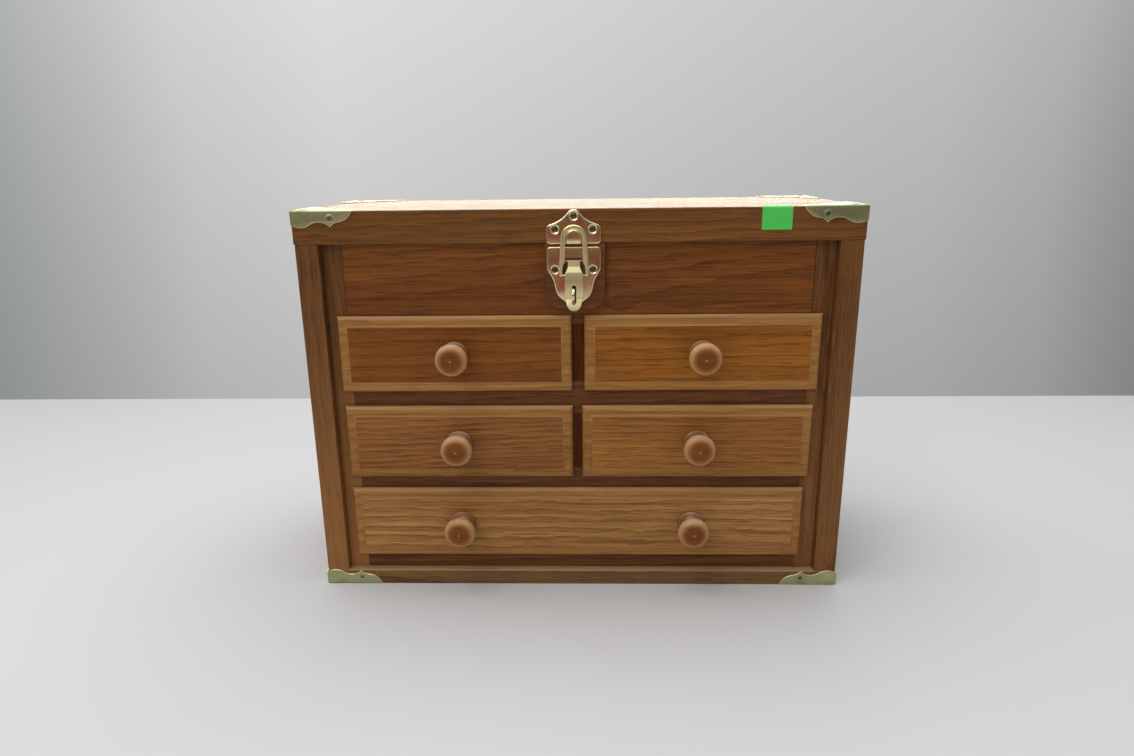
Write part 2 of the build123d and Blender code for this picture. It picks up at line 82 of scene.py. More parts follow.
def selectWhere(piece, kind, test):
    # kind is verts, edges or faces; the test looks at the place, direction or normal
    bpy.ops.mesh.select_all(action="DESELECT")
    shape = bmesh.from_edit_mesh(piece.data)
    for part in getattr(shape, kind):
        if test(part):
            part.select_set(True)
    shape.select_flush_mode()
    bmesh.update_edit_mesh(piece.data)


def middle(part):
    spots = [vert.co for vert in part.verts]
    return sum(spots, Vector()) / len(spots)


def along(edge):
    return (edge.verts[1].co - edge.verts[0].co).normalized()


def foldAngle(edge):
    return edge.calc_face_angle(0.0) if len(edge.link_faces) == 2 else 0.0


def applyModifier(piece, kind, **settings):
    pick(piece)
    change = piece.modifiers.new("step", kind)
    for name, value in settings.items():
        setattr(change, name, value)
    bpy.ops.object.modifier_apply(modifier=change.name)


def smoothed(piece, degrees=32):
    pick(piece)
    bpy.ops.object.shade_smooth_by_angle(angle=math.radians(degrees))
    return piece


def flatFaced(piece):
    # broad faces keep their own normals, so only the roundings beside them shade as curves
    applyModifier(piece, "WEIGHTED_NORMAL", keep_sharp=True)
    return piece


def facingOut(piece):
    openPiece(piece, "FACE")
    bpy.ops.mesh.select_all(action="SELECT")
    bpy.ops.mesh.remove_doubles(threshold=0.002 * mm)
    bpy.ops.mesh.normals_make_consistent(inside=False)
    closePiece()


def newBox(name, low, high):
    clearSelection()
    centre = (Vector(low) + Vector(high)) / 2
    bpy.ops.mesh.primitive_cube_add(size=1, location=centre, scale=Vector(high) - Vector(low))
    bpy.ops.object.transform_apply(location=True, rotation=True, scale=True)
    piece = bpy.context.object
    piece.name = name
    return piece


def circleThrough(first, through, last):
    (ax, ay), (bx, by), (cx, cy) = first, through, last
    a, b, c = ax * ax + ay * ay, bx * bx + by * by, cx * cx + cy * cy
    across = 2 * (ax * (by - cy) + bx * (cy - ay) + cx * (ay - by))
    x = (a * (by - cy) + b * (cy - ay) + c * (ay - by)) / across
    y = (a * (cx - bx) + b * (ax - cx) + c * (bx - ax)) / across
    begin = math.atan2(ay - y, ax - x)
    halfway = (math.atan2(by - y, bx - x) - begin) % math.tau
    turn = (math.atan2(cy - y, cx - x) - begin) % math.tau
    return (x, y), turn if halfway < turn else turn - math.tau


def drawOutline(name, start, steps, at, fill=True, fineness=0.13):
    # a point is drawn along straights, and spun about its centre along arcs
    clearSelection()
    bpy.ops.mesh.primitive_plane_add(size=mm)
    piece = bpy.context.object
    piece.name = name
    openPiece(piece, "VERT")
    bpy.ops.mesh.select_all(action="SELECT")
    bpy.ops.mesh.merge(type="CENTER")
    bpy.ops.transform.translate(value=at(*start))
    axis = (at(1, 0) - at(0, 0)).cross(at(0, 1) - at(0, 0)).normalized()
    spot = start
    for step in steps:
        end = step[-1]
        if len(step) == 1:
            move = at(*end) - at(*spot)
            bpy.ops.mesh.extrude_vertices_move(TRANSFORM_OT_translate={"value": move})
        else:
            centre, turn = circleThrough(spot, step[0], end)
            count = max(2, round(abs(turn) / fineness))
            bpy.ops.mesh.spin(steps=count, angle=-turn, center=at(*centre), axis=axis)
            goal = at(*end)
            selectWhere(piece, "verts", lambda vert: (vert.co - goal).length < 0.01 * mm and len(vert.link_edges) < 2)
        spot = end
    bpy.ops.mesh.select_all(action="SELECT")
    bpy.ops.mesh.remove_doubles(threshold=0.01 * mm)
    if fill:
        bpy.ops.mesh.edge_face_add()
    closePiece()
    return piece


def roundCorner(piece, place, tangent, segments=8):
    # one corner of a flat outline is rounded over this length of its two edges
    openPiece(piece, "VERT")
    selectWhere(piece, "verts", lambda vert: (vert.co - place).length < 0.02 * mm)
    bpy.ops.mesh.bevel(offset=tangent, segments=segments, affect="VERTICES", offset_type="OFFSET")
    closePiece()


def thicken(piece, move):
    openPiece(piece, "FACE")
    bpy.ops.mesh.select_all(action="SELECT")
    bpy.ops.mesh.extrude_region_move(TRANSFORM_OT_translate={"value": move})
    closePiece()
    facingOut(piece)


def ringsTurned(name, rings, sides, close=True):
    # rings of (radius, height) about Z, each extruded from the one before
    clearSelection()
    bpy.ops.mesh.primitive_circle_add(vertices=sides, radius=rings[0][0], location=(0, 0, rings[0][1]))
    bpy.ops.object.transform_apply(location=True, rotation=True, scale=True)
    piece = bpy.context.object
    piece.name = name
    openPiece(piece, "EDGE")
    bpy.ops.mesh.select_all(action="SELECT")
    if close:
        bpy.ops.mesh.edge_face_add()
    selectWhere(piece, "edges", lambda edge: True)
    for (radius, height), (newRadius, newHeight) in zip(rings, rings[1:]):
        bpy.ops.mesh.extrude_edges_move(TRANSFORM_OT_translate={"value": (0, 0, newHeight - height)})
        scale = newRadius / radius
        bpy.ops.transform.resize(value=(scale, scale, 1), center_override=(0, 0, newHeight))
    if close:
        bpy.ops.mesh.edge_face_add()
    closePiece()
    facingOut(piece)
    return piece


def copiesAt(name, source, places):
    # a copy with its own mesh at each place, joined as one piece; the pattern is removed
    copies = []
    for place in places:
        twin = source.copy()
        twin.data = source.data.copy()
        bpy.context.collection.objects.link(twin)
        twin.data.transform(place)
        if place.determinant() < 0:
            twin.data.flip_normals()
        copies.append(twin)
    pick(*copies)
    if len(copies) > 1:
        bpy.ops.object.join()
    piece = bpy.context.object
    piece.name = name
    bpy.data.objects.remove(source)
    return piece


def joined(name, *pieces):
    pick(*pieces)
    bpy.ops.object.join()
    piece = bpy.context.object
    piece.name = name
    return piece


def cutWith(piece, cutter):
    applyModifier(piece, "BOOLEAN", operation="DIFFERENCE", solver="EXACT", object=cutter)
    bpy.data.objects.remove(cutter)


def easedCopy(name, node, width, test, segments=3):
    # the board again, with its outer arrises rounded over
    piece = nodes[node].copy()
    piece.data = nodes[node].data.copy()
    for key in list(piece.keys()):
        del piece[key]
    piece.parent = None
    piece.name = name
    bpy.context.collection.objects.link(piece)
    openPiece(piece, "EDGE")
    bpy.ops.mesh.select_all(action="SELECT")
    bpy.ops.mesh.remove_doubles(threshold=0.002 * mm)
    bpy.ops.mesh.dissolve_limited(angle_limit=math.radians(1))
    selectWhere(piece, "edges", lambda edge: foldAngle(edge) > 0.9 and test(edge))
    bpy.ops.mesh.bevel(offset=width, segments=segments, affect="EDGES", clamp_overlap=True)
    closePiece()
    return flatFaced(smoothed(piece, 35))


def dressed(piece, body, slot, finish, *replaced):
    if finish:
        piece.data.materials.clear()
        piece.data.materials.append(finish)
    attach(piece, body)
    if replaced:
        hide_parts(*replaced)
    return piece


# materials

def nodeAdder(owner):
    tree = owner.node_tree

    def add(kind, inputs=None, **settings):
        node = tree.nodes.new(kind)
        for name, value in settings.items():
            setattr(node, name, value)
        for socket, value in (inputs or {}).items():
            if isinstance(value, bpy.types.NodeSocket):
                tree.links.new(value, node.inputs[socket])
            else:
                node.inputs[socket].default_value = value
        return node
    return add


def newFinish(name):
    material = bpy.data.materials.new(name)
    material.use_nodes = True
    material.node_tree.nodes.clear()
    add = nodeAdder(material)
    return material, add, add("ShaderNodeTexCoord").outputs["Object"]


def finished(add, sockets):
    surface = add("ShaderNodeBsdfPrincipled", sockets)
    add("ShaderNodeOutputMaterial", {"Surface": surface.outputs[0]})


def stretched(add, coords, scale, move=(0, 0, 0), turn=(0, 0, 0)):
    return add("ShaderNodeMapping", {"Vector": coords, "Scale": scale, "Location": move, "Rotation": turn}).outputs[0]


def ramp(add, value, *stops):
    node = add("ShaderNodeValToRGB", {"Fac": value})
    for place, tone in stops[2:]:
        node.color_ramp.elements.new(place)
    for element, (place, tone) in zip(node.color_ramp.elements, stops):
        element.position = place
        element.color = (*tone, 1) if isinstance(tone, tuple) else (tone, tone, tone, 1)
    return node.outputs["Color"]


def mixed(add, share, first, second, blend="MIX"):
    node = add("ShaderNodeMix", data_type="RGBA", blend_type=blend)
    tree = node.id_data
    for socket, value in ((node.inputs[0], share), (node.inputs[6], first), (node.inputs[7], second)):
        if isinstance(value, bpy.types.NodeSocket):
            tree.links.new(value, socket)
        else:
            socket.default_value = (*value, 1) if isinstance(value, tuple) else value
    return node.outputs[2]


def noise(add, coords, scale=1.0, detail=2.0, roughness=0.5, stretch=None):
    if stretch:
        coords = stretched(add, coords, stretch)
    settings = {"Vector": coords, "Scale": scale, "Detail": detail, "Roughness": roughness}
    return add("ShaderNodeTexNoise", settings).outputs


def reckoned(add, operation, *values):
    return add("ShaderNodeMath", dict(enumerate(values)), operation=operation).outputs[0]


def spread(add, value, low, high, newLow, newHigh):
    sockets = {"Value": value, "From Min": low, "From Max": high, "To Min": newLow, "To Max": newHigh}
    return add("ShaderNodeMapRange", sockets).outputs[0]


def relief(add, height, depth, strength):
    return add("ShaderNodeBump", {"Strength": strength, "Distance": depth * mm, "Height": height}).outputs[0]


def facingUp(add):
    return add("ShaderNodeSeparateXYZ", {"Vector": add("ShaderNodeNewGeometry").outputs["Normal"]}).outputs["Z"]


def toned(tone, share):
    return tuple(share * part for part in tone)


grainTurns = {"x": (0, 0, 0), "y": (0, 0, -math.pi / 2), "z": (0, math.pi / 2, 0)}

oak = {
    "pore": (52, 2100, 2100),  # dashes per metre along the grain and across it
    "poreShare": 0.60,
    "poreInk": 0.52,
    "bandInk": 0.42,  # how dark the growth rings are
    "dust": 0.0,  # share of pale tan on what faces up: painted light from above, partly a dusty film
    "paleFoot": 0.0,  # painted light bounced up from the table, partly a dusty film: paler towards the table
    "ringSpacing": 42,
    "ringWaver": 2.6,
    "wander": 12.0,  # millimetres that the rings stray
    "fibre": (9, 520, 520),
    "roughLow": 0.33,
    "roughHigh": 0.5,
    "coat": 0.02,
    "coatRoughness": 0.28,
    "specular": 0.16,
    "poreDepth": 0.16,
}


def oakWood(name, light, dark, grain="x", shift=(0, 0, 0), tilt=(0.0, 0.03, 0.02), **changes):
    # open-pored oak under satin varnish: growth rings, fibres, short dark pores and broad changes of tone
    wood = {**oak, **changes}
    material, add, place = newFinish(name)
    along = stretched(add, place, (1, 1, 1), shift, grainTurns[grain])
    slanted = stretched(add, along, (1, 1, 1), (0, 0, 0), tilt)
    broad = noise(add, along, stretch=(2.2, 16, 16))["Fac"]
    warp = noise(add, along, stretch=(6, 22, 22))["Color"]
    stray = wood["wander"] * mm
    bent = add("ShaderNodeVectorMath", {0: warp, 1: (0.0, stray, stray)}, operation="MULTIPLY").outputs[0]
    onRings = add("ShaderNodeVectorMath", {0: slanted, 1: bent}, operation="ADD").outputs[0]
    rings = add("ShaderNodeTexWave", {
        "Vector": onRings, "Scale": wood["ringSpacing"], "Distortion": wood["ringWaver"],
        "Detail": 2.0, "Detail Scale": 0.8,
    }, wave_type="RINGS", rings_direction="X", wave_profile="SAW").outputs["Fac"]
    fibres = noise(add, along, detail=3.0, roughness=0.6, stretch=wood["fibre"])["Fac"]
    pores = noise(add, along, detail=1.0, roughness=0.4, stretch=wood["pore"])["Fac"]
    inRing = ramp(add, rings, (0.0, 0.0), (0.75, 0.05), (1.0, 0.14))
    raised = reckoned(add, "ADD", pores, inRing)
    dashes = ramp(add, raised, (wood["poreShare"], 0.0), (wood["poreShare"] + 0.07, 1.0))
    body = mixed(add, ramp(add, broad, (0.32, 0.0), (0.68, 1.0)), light, dark)
    banded = mixed(add, ramp(add, rings, (0.2, 0.0), (1.0, wood["bandInk"])), body, dark, "MULTIPLY")
    ringed = mixed(add, 0.55, body, banded)
    combed = mixed(add, ramp(add, fibres, (0.3, 0.0), (0.72, 0.38)), ringed, (0.02, 0.009, 0.004))
    colour = mixed(add, reckoned(add, "MULTIPLY", dashes, wood["poreInk"]), combed, toned(dark, 0.22))
    # paler towards the table: painted bounce light from the table, partly a dusty film
    if wood["paleFoot"]:
        heightUp = add("ShaderNodeSeparateXYZ", {"Vector": place}).outputs["Z"]
        foot = ramp(add, heightUp, (0.03, wood["paleFoot"]), (0.25, 0.0))
        colour = mixed(add, foot, colour, tuple(2.1 * part + 0.01 for part in light))
    # paler on faces that look up: painted light from above, partly a dusty film
    if wood["dust"]:
        upFacingDustAndLight = ramp(add, facingUp(add), (0.15, 0.0), (0.8, wood["dust"]))
        colour = mixed(add, upFacingDustAndLight, colour, (0.62, 0.43, 0.24))
    height = reckoned(add, "SUBTRACT", reckoned(add, "MULTIPLY", fibres, 0.25), dashes)
    finished(add, {
        "Base Color": colour, "Roughness": spread(add, fibres, 0.3, 0.7, wood["roughLow"], wood["roughHigh"]),
        "Normal": relief(add, height, wood["poreDepth"], 0.6), "Coat Weight": wood["coat"],
        "Coat Roughness": wood["coatRoughness"], "Specular IOR Level": wood["specular"],
    })
    return material


brass = {
    "brush": (60, 60, 900),  # fine lines, close together along Z
    "brushDepth": 0.02,
    "blotch": 55,
    "tarnishFrom": 0.45,  # a higher value leaves less tarnish
    "dulling": 0.16,  # how much rougher the tarnish is
}


def brassMetal(name, bright, tarnish, roughness, **changes):
    # plated brass: blotches of tarnish, fine brushing and dark specks
    metal = {**brass, **changes}
    material, add, place = newFinish(name)
    stain = noise(add, place, metal["blotch"], 4.0, 0.6)["Fac"]
    lines = noise(add, place, detail=3.0, stretch=metal["brush"])["Fac"]
    specks = noise(add, place, 900.0, 1.0)["Fac"]
    tarnished = ramp(add, stain, (metal["tarnishFrom"], 0.0), (metal["tarnishFrom"] + 0.22, 1.0))
    colour = mixed(add, tarnished, bright, tarnish)
    colour = mixed(add, ramp(add, specks, (0.66, 0.0), (0.74, 0.5)), colour, toned(tarnish, 0.45))
    finished(add, {
        "Base Color": colour, "Metallic": 1.0,
        "Roughness": spread(add, stain, 0.3, 0.75, roughness, roughness + metal["dulling"]),
        "Normal": relief(add, lines, metal["brushDepth"], 0.5),
    })
    return material


def turnedWood(name, light, dark, rim, dust):
    # a knob's close-grained wood: streaks and end-grain specks, a paler rim and tip that are a painted highlight and
    # partly a dusty film, and a paler top that is painted light from above and partly a dusty film
    material, add, place = newFinish(name)
    streaks = noise(add, place, detail=3.0, stretch=(40, 260, 420))["Fac"]
    soft = noise(add, place, 120.0)["Fac"]
    specks = noise(add, place, 1500.0, 1.0)["Fac"]
    colour = mixed(add, ramp(add, streaks, (0.3, 0.0), (0.7, 1.0)), light, dark)
    colour = mixed(add, ramp(add, specks, (0.6, 0.0), (0.7, 0.35)), colour, dark, "MULTIPLY")
    turning = add("ShaderNodeAttribute", attribute_name="turning").outputs["Fac"]  # 0 at the foot, 1 at the tip
    # the rounded rim and the centre of the tip are mixed towards the pale rim tone: a painted highlight, partly a
    # dusty film
    dustAndSheenOnRim = ramp(add, turning, (0.6, 0.1), (0.76, 0.8), (0.9, 0.8), (0.965, 0.0), (0.993, 0.0), (0.999, 0.6))
    colour = mixed(add, dustAndSheenOnRim, colour, rim)
    # faces that look up are mixed towards a pale tan: painted light from above, partly a dusty film
    upFacingDustAndLight = reckoned(add, "MULTIPLY", facingUp(add), soft)
    colour = mixed(add, ramp(add, upFacingDustAndLight, (0.12, 0.0), (0.5, 0.55)), colour, dust)
    finished(add, {
        "Base Color": colour, "Roughness": spread(add, soft, 0.3, 0.7, 0.38, 0.56),
        "Normal": relief(add, streaks, 0.05, 0.4), "Coat Weight": 0.04, "Coat Roughness": 0.35,
        "Specular IOR Level": 0.16,
    })
    return material


def paperStock(name, tone):
    material, add, place = newFinish(name)
    pulp = noise(add, place, 700.0, 4.0)["Fac"]
    shade = noise(add, place, 90.0)["Fac"]
    colour = mixed(add, ramp(add, pulp, (0.35, 0.0), (0.7, 0.25)), tone, toned(tone, 0.7))
    colour = mixed(add, ramp(add, shade, (0.4, 0.0), (0.7, 0.2)), colour, toned(tone, 0.8))
    finished(add, {"Base Color": colour, "Roughness": 0.55, "Normal": relief(add, pulp, 0.03, 0.3)})
    return material


tones = {
    # paler and darker tone of each kind of board
    "lid": ((0.318, 0.127, 0.028), (0.207, 0.077, 0.017)),
    "lidTop": ((0.4, 0.22, 0.1), (0.3, 0.15, 0.06)),
    "till": ((0.35, 0.12, 0.02), (0.24, 0.075, 0.012)),
    "rail": ((0.23, 0.08, 0.02), (0.15, 0.048, 0.012)),
    "stile": ((0.27, 0.115, 0.032), (0.175, 0.067, 0.018)),
    "base": ((0.3, 0.15, 0.055), (0.21, 0.1, 0.034)),
    "block": ((0.25, 0.092, 0.028), (0.165, 0.058, 0.018)),
    # the mullions' very dark tone is painted shade of the narrow recess between the drawer fronts
    "mullion": ((0.13, 0.034, 0.008), (0.09, 0.022, 0.006)),
    "border": ((0.5, 0.24, 0.065), (0.4, 0.175, 0.044)),
    "inner": ((0.52, 0.36, 0.2), (0.4, 0.26, 0.135)),
}

lidOak = oakWood("lidOak", *tones["lid"], "x", (0.31, 0.05, 0.02))
lidEndOak = oakWood("lidEndOak", *tones["lid"], "y", (0.11, 0.25, 0.07))
topOak = oakWood("topOak", *tones["lidTop"], "x", (0.02, 0.11, -0.24))
# the left side and stile get more painted bounce light at the foot than the right ones
leftOak = oakWood("leftOak", *tones["stile"], "z", (0.2, 0.03, 0.14), paleFoot=0.35)
rightOak = oakWood("rightOak", *tones["stile"], "z", (0.54, 0.13, 0.22), paleFoot=0.05)
stileOak = oakWood("stileOak", *tones["stile"], "z", (0.06, 0.33, 0.05), paleFoot=0.15)
leftStileOak = oakWood("leftStileOak", *tones["stile"], "z", (0.16, 0.23, 0.35), paleFoot=0.4)
railOak = oakWood("railOak", *tones["rail"], "x", (0.17, 0.08, 0.09))
# the base's upper edge is paler where it faces up: painted light from above, partly a dusty film
baseOak = oakWood("baseOak", *tones["base"], "x", (0.47, 0.21, 0.05), dust=0.5)
tillOak = oakWood("tillOak", *tones["till"], "x", (0.66, 0.02, -0.2), (0.0, 0.05, 0.04))
blockOak = oakWood("blockOak", *tones["block"], "x", (0.9, 0.12, -0.1))
# darker, duller copy of the stile wood: painted shade in the recess between the drawers
shadedMullionOak = oakWood("shadedMullionOak", *tones["mullion"], "z", (0.3, 0.2, 0.5), coat=0.0, specular=0.08)
backOak = oakWood("backOak", *tones["stile"], "x", (0.83, 0.42, 0.01), (0.0, 0.06, 0.05),
                  bandInk=0.16, wander=4.0, ringWaver=1.2)
# the borders are paler where the rounding faces up: painted light from above, partly a dusty film
borderOak = oakWood("borderOak", *tones["border"], "x", (0.5, 0.3, 0.2), poreInk=0.2, dust=0.35)
innerWood = oakWood("innerWood", *tones["inner"], "x", (0.35, 0.6, 0.4),
                    coat=0.0, roughLow=0.55, roughHigh=0.7, poreInk=0.35)

knobWood = turnedWood("knobWood", (0.22, 0.07, 0.009), (0.16, 0.047, 0.006), (0.56, 0.29, 0.12), (0.62, 0.44, 0.29))
cornerBrass = brassMetal("cornerBrass", (0.46, 0.47, 0.25), (0.31, 0.33, 0.17), 0.34)
# paler brass on the corners' cut edges: a painted highlight along the sheet's outline
edgeHighlightBrass = brassMetal("edgeHighlightBrass", (0.85, 0.74, 0.42), (0.7, 0.58, 0.3), 0.3)
polish = {"tarnishFrom": 0.5, "brushDepth": 0.006}
leverBrass = brassMetal("leverBrass", (0.79, 0.69, 0.4), (0.67, 0.57, 0.31), 0.3, **polish)
latchBrass = brassMetal("latchBrass", (0.9, 0.77, 0.45), (0.78, 0.58, 0.3), 0.15, **polish)
hingeBrass = brassMetal("hingeBrass", (0.75, 0.62, 0.36), (0.5, 0.4, 0.22), 0.26)
screwBrass = brassMetal("screwBrass", (0.17, 0.145, 0.08), (0.07, 0.06, 0.035), 0.34)
nailBrass = brassMetal("nailBrass", (0.2, 0.18, 0.1), (0.09, 0.08, 0.05), 0.38)
labelPaper = paperStock("labelPaper", (0.076, 0.67, 0.1))
print("materials made")


# case boards

def frontOf(edge, y, reach=0.6 * mm):
    return all(abs(vert.co.y - y) < reach for vert in edge.verts)


def longEdge(edge, axis, length):
    return abs(along(edge)[axis]) > 0.99 and edge.calc_length() > length


arris = {  # how far each kind of board is eased
    "broad": 0.9 * mm, "fine": 0.5 * mm, "frame": 0.7 * mm, "block": 0.8 * mm, "top": 0.25 * mm, "seam": 0.6 * mm,
}


def frameEdge(axis, length):
    return lambda edge: frontOf(edge, chest["frameY"]) and longEdge(edge, axis, length * mm)


def seamEdge(axis, length):
    return lambda edge: abs(middle(edge).z - chest["seamZ"]) < 0.9 * mm and longEdge(edge, axis, length * mm)


def sideEdge(side):
    # the front and back edges of a side board, left or right
    def test(edge):
        out = side * middle(edge).x
        return 185.5 * mm < out < 193 * mm and longEdge(edge, 2, 100 * mm)
    return test


def baseEdge(edge):
    return edge.calc_length() > 20 * mm and middle(edge).z > 11 * mm and abs(along(edge).z) < 0.1


caseBoards = [
    ("baseBoard", "base_board", baseOak, "broad", baseEdge),
    ("leftFaceStile", "left_face_stile", leftStileOak, "frame", frameEdge(2, 100)),
    ("rightFaceStile", "right_face_stile", stileOak, "frame", frameEdge(2, 100)),
    ("upperRail", "upper_rail", railOak, "frame", frameEdge(0, 100)),
    ("middleRail", "middle_rail", railOak, "frame", frameEdge(0, 100)),
    ("lowerRail", "lower_rail", railOak, "frame", frameEdge(0, 100)),
    ("bottomRail", "bottom_rail", railOak, "frame", frameEdge(0, 100)),
    ("mullions", "mullions", shadedMullionOak, "frame", frameEdge(2, 20)),
    ("leftSide", "left_side", leftOak, "fine", sideEdge(-1)),
    ("rightSide", "right_side", rightOak, "fine", sideEdge(1)),
    ("backPanel", "back_panel", backOak, "fine",
     lambda edge: middle(edge).y > 79.5 * mm and edge.calc_length() > 100 * mm),
    ("tillFront", "till_front", tillOak, "fine",
     lambda edge: middle(edge).y < -74.9 * mm and longEdge(edge, 0, 100 * mm)),
    ("latchBlock", "latch_block", blockOak, "block",
     lambda edge: frontOf(edge, -80 * mm, 0.1 * mm) and middle(edge).z < 269 * mm),
]

for name, node, wood, ease, test in caseBoards:
    slot = "dark_wood" if node in ("till_front", "latch_block") else "case_wood"
    dressed(easedCopy(name, node, arris[ease], test), "case", slot, wood, node)


def plainInside(*inside):
    # boards that stay as the frame gives them, in sanded wood
    for node in inside:
        nodes[node].data.materials.clear()
        nodes[node].data.materials.append(innerWood)


plainInside("till_floor", "upper_shelf", "lower_shelf", "partitions", "drawer_guides")
print("case boards dressed")


# lid boards

lidBoards = [
    ("lidTop", "lid_top", topOak, "top",
     lambda edge: middle(edge).z > 293.4 * mm and edge.calc_length() > 60 * mm),
    ("lidFrontRail", "lid_front_rail", lidOak, "seam", seamEdge(0, 200)),
    ("lidBackRail", "lid_back_rail", lidOak, "seam", seamEdge(0, 200)),
    ("lidLeftRail", "lid_left_rail", lidEndOak, "seam", seamEdge(1, 100)),
    ("lidRightRail", "lid_right_rail", lidEndOak, "seam", seamEdge(1, 100)),
]

for name, node, wood, ease, test in lidBoards:
    dressed(easedCopy(name, node, arris[ease], test), "lid", "case_wood", wood, node)
print("lid boards dressed")


# drawer fronts and knobs

drawerFront = {
    "lip": 5.0 * mm,
    "rounding": 3.6 * mm,
    "backEasing": 1.0 * mm,
    "plugIn": 7.5 * mm,
    "border": 7.6 * mm,
    "fieldStep": 1.0 * mm,
    "stepSlope": 1.5 * mm,
}

drawerBoards = {
    # paler tone, darker tone, slope of the growth rings, their spacing, darkness and straying
    "upper_left": ((0.33, 0.108, 0.012), (0.22, 0.062, 0.007), (0.0, 0.02, 0.02), 42, 0.28, 12),
    "upper_right": ((0.48, 0.178, 0.018), (0.33, 0.107, 0.011), (0.0, 0.03, 0.01), 40, 0.3, 10),
    "middle_left": ((0.455, 0.19, 0.044), (0.305, 0.111, 0.027), (0.0, 0.05, 0.03), 74, 0.6, 10),
    "middle_right": ((0.5, 0.209, 0.041), (0.343, 0.129, 0.026), (0.0, 0.02, 0.03), 60, 0.45, 9),
    "bottom": ((0.59, 0.305, 0.094), (0.405, 0.184, 0.05), (0.0, 0.06, 0.04), 84, 0.75, 7),
}


def drawerPanel(name, node, fieldWood):
    low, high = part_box(node)
    frontY = low.y + drawerFront["fieldStep"]
    backY = frontY + drawerFront["lip"]
    piece = newBox(name, (low.x, frontY, low.z), (high.x, backY, high.z))
    openPiece(piece, "EDGE")
    selectWhere(piece, "edges", lambda edge: frontOf(edge, frontY, 0.1 * mm))
    bpy.ops.mesh.bevel(offset=drawerFront["rounding"], segments=7, affect="EDGES")
    selectWhere(piece, "edges", lambda edge: frontOf(edge, backY, 0.1 * mm))
    bpy.ops.mesh.bevel(offset=drawerFront["backEasing"], segments=1, affect="EDGES")
    bpy.ops.mesh.select_mode(type="FACE")
    selectWhere(piece, "faces", lambda face: face.normal.y < -0.99 and face.calc_area() > 500 * mm * mm)
    inner = drawerFront["border"] - drawerFront["rounding"] - drawerFront["stepSlope"]
    bpy.ops.mesh.inset(thickness=inner)
    bpy.ops.mesh.inset(thickness=drawerFront["stepSlope"])
    bpy.ops.transform.translate(value=(0, -drawerFront["fieldStep"], 0))
    bpy.ops.mesh.inset(thickness=0.4 * mm)
    fieldZ = (low.z + high.z) / 2
    bpy.ops.mesh.select_mode(type="EDGE")
    edgeIn = drawerFront["border"]
    selectWhere(piece, "edges", lambda edge: frontOf(edge, low.y, 0.05 * mm) and (
        abs(abs(middle(edge).z - fieldZ) - ((high.z - low.z) / 2 - edgeIn)) < 0.1 * mm
        or min(abs(middle(edge).x - low.x - edgeIn), abs(high.x - edgeIn - middle(edge).x)) < 0.1 * mm))
    bpy.ops.mesh.bevel(offset=0.3 * mm, segments=3, affect="EDGES")
    bpy.ops.mesh.select_mode(type="FACE")
    selectWhere(piece, "faces", lambda face: face.normal.y > 0.99)  # the plug that fills the opening
    bpy.ops.mesh.inset(thickness=drawerFront["plugIn"] - drawerFront["backEasing"])
    bpy.ops.mesh.extrude_region_move(TRANSFORM_OT_translate={"value": (0, high.y - backY, 0)})
    closePiece()
    piece.data.materials.append(fieldWood)
    piece.data.materials.append(borderOak)
    for face in piece.data.polygons:
        inField = face.normal.y < -0.999 and abs(face.center.y - low.y) < 0.02 * mm
        face.material_index = 0 if inField or face.center.y > backY + 0.1 * mm else 1
    return flatFaced(smoothed(piece, 40))


knobShape = {
    # distance from the drawer's face, radius
    "profile": [
        (0.0, 10.3), (1.5, 10.5), (2.5, 10.1), (3.2, 8.0), (4.6, 6.3), (7.6, 6.0), (10.0, 7.0),
        (11.6, 9.3), (13.2, 11.2), (15.2, 11.95), (17.2, 11.8), (18.9, 10.9), (20.2, 9.1), (20.7, 7.0),
        (21.15, 4.0), (21.3, 1.2), (21.6, 0.7), (21.6, 0.25),
    ],
    "sides": 40,
}


def turnedKnob(name, place):
    rings = [(radius * mm, height * mm) for height, radius in knobShape["profile"]]
    piece = ringsTurned(name, rings, knobShape["sides"])
    applyModifier(piece, "SUBSURF", levels=1, render_levels=1)
    turning = piece.data.attributes.new("turning", "FLOAT", "POINT")
    turning.data.foreach_set("value", [vert.co.z / rings[-1][1] for vert in piece.data.vertices])
    piece.data.transform(Matrix.Translation(place) @ Matrix.Rotation(math.pi / 2, 4, "X"))
    return smoothed(piece, 50)


for number, name in enumerate(("upper_left", "upper_right", "middle_left", "middle_right", "bottom")):
    body = f"{name}_drawer"
    light, dark, tilt, spacing, bandInk, wander = drawerBoards[name]
    parts = name.split("_")
    pieceName = parts[0] + "".join(part.capitalize() for part in parts[1:])
    shift = (0.23 * number + 0.05, 0.061 * number - 0.04, 0.045 + 0.013 * number)
    fieldWood = oakWood(f"{pieceName}Oak", light, dark, "x", shift, tilt,
                        ringSpacing=spacing, bandInk=bandInk, wander=wander, ringWaver=1.8)
    front = drawerPanel(f"{pieceName}Front", f"{body}_front", fieldWood)
    dressed(front, body, "drawer_wood", None, f"{body}_front")
    low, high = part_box(f"{body}_knob")
    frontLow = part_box(f"{body}_front")[0]
    if high.x - low.x < 30 * mm:
        centres = [(low.x + high.x) / 2]
    else:
        centres = [low.x + 12 * mm, high.x - 12 * mm]
    knobs = [
        turnedKnob(f"{pieceName}Knob{turn}", Vector((x, frontLow.y, (low.z + high.z) / 2)))
        for turn, x in enumerate(centres)
    ]
    knob = joined(f"{pieceName}Knob", *knobs) if len(knobs) > 1 else knobs[0]
    dressed(knob, body, "knob_wood", knobWood, f"{body}_knob")
    plainInside(f"{body}_box", f"{body}_bottom")
print("drawers made")


# brass corners

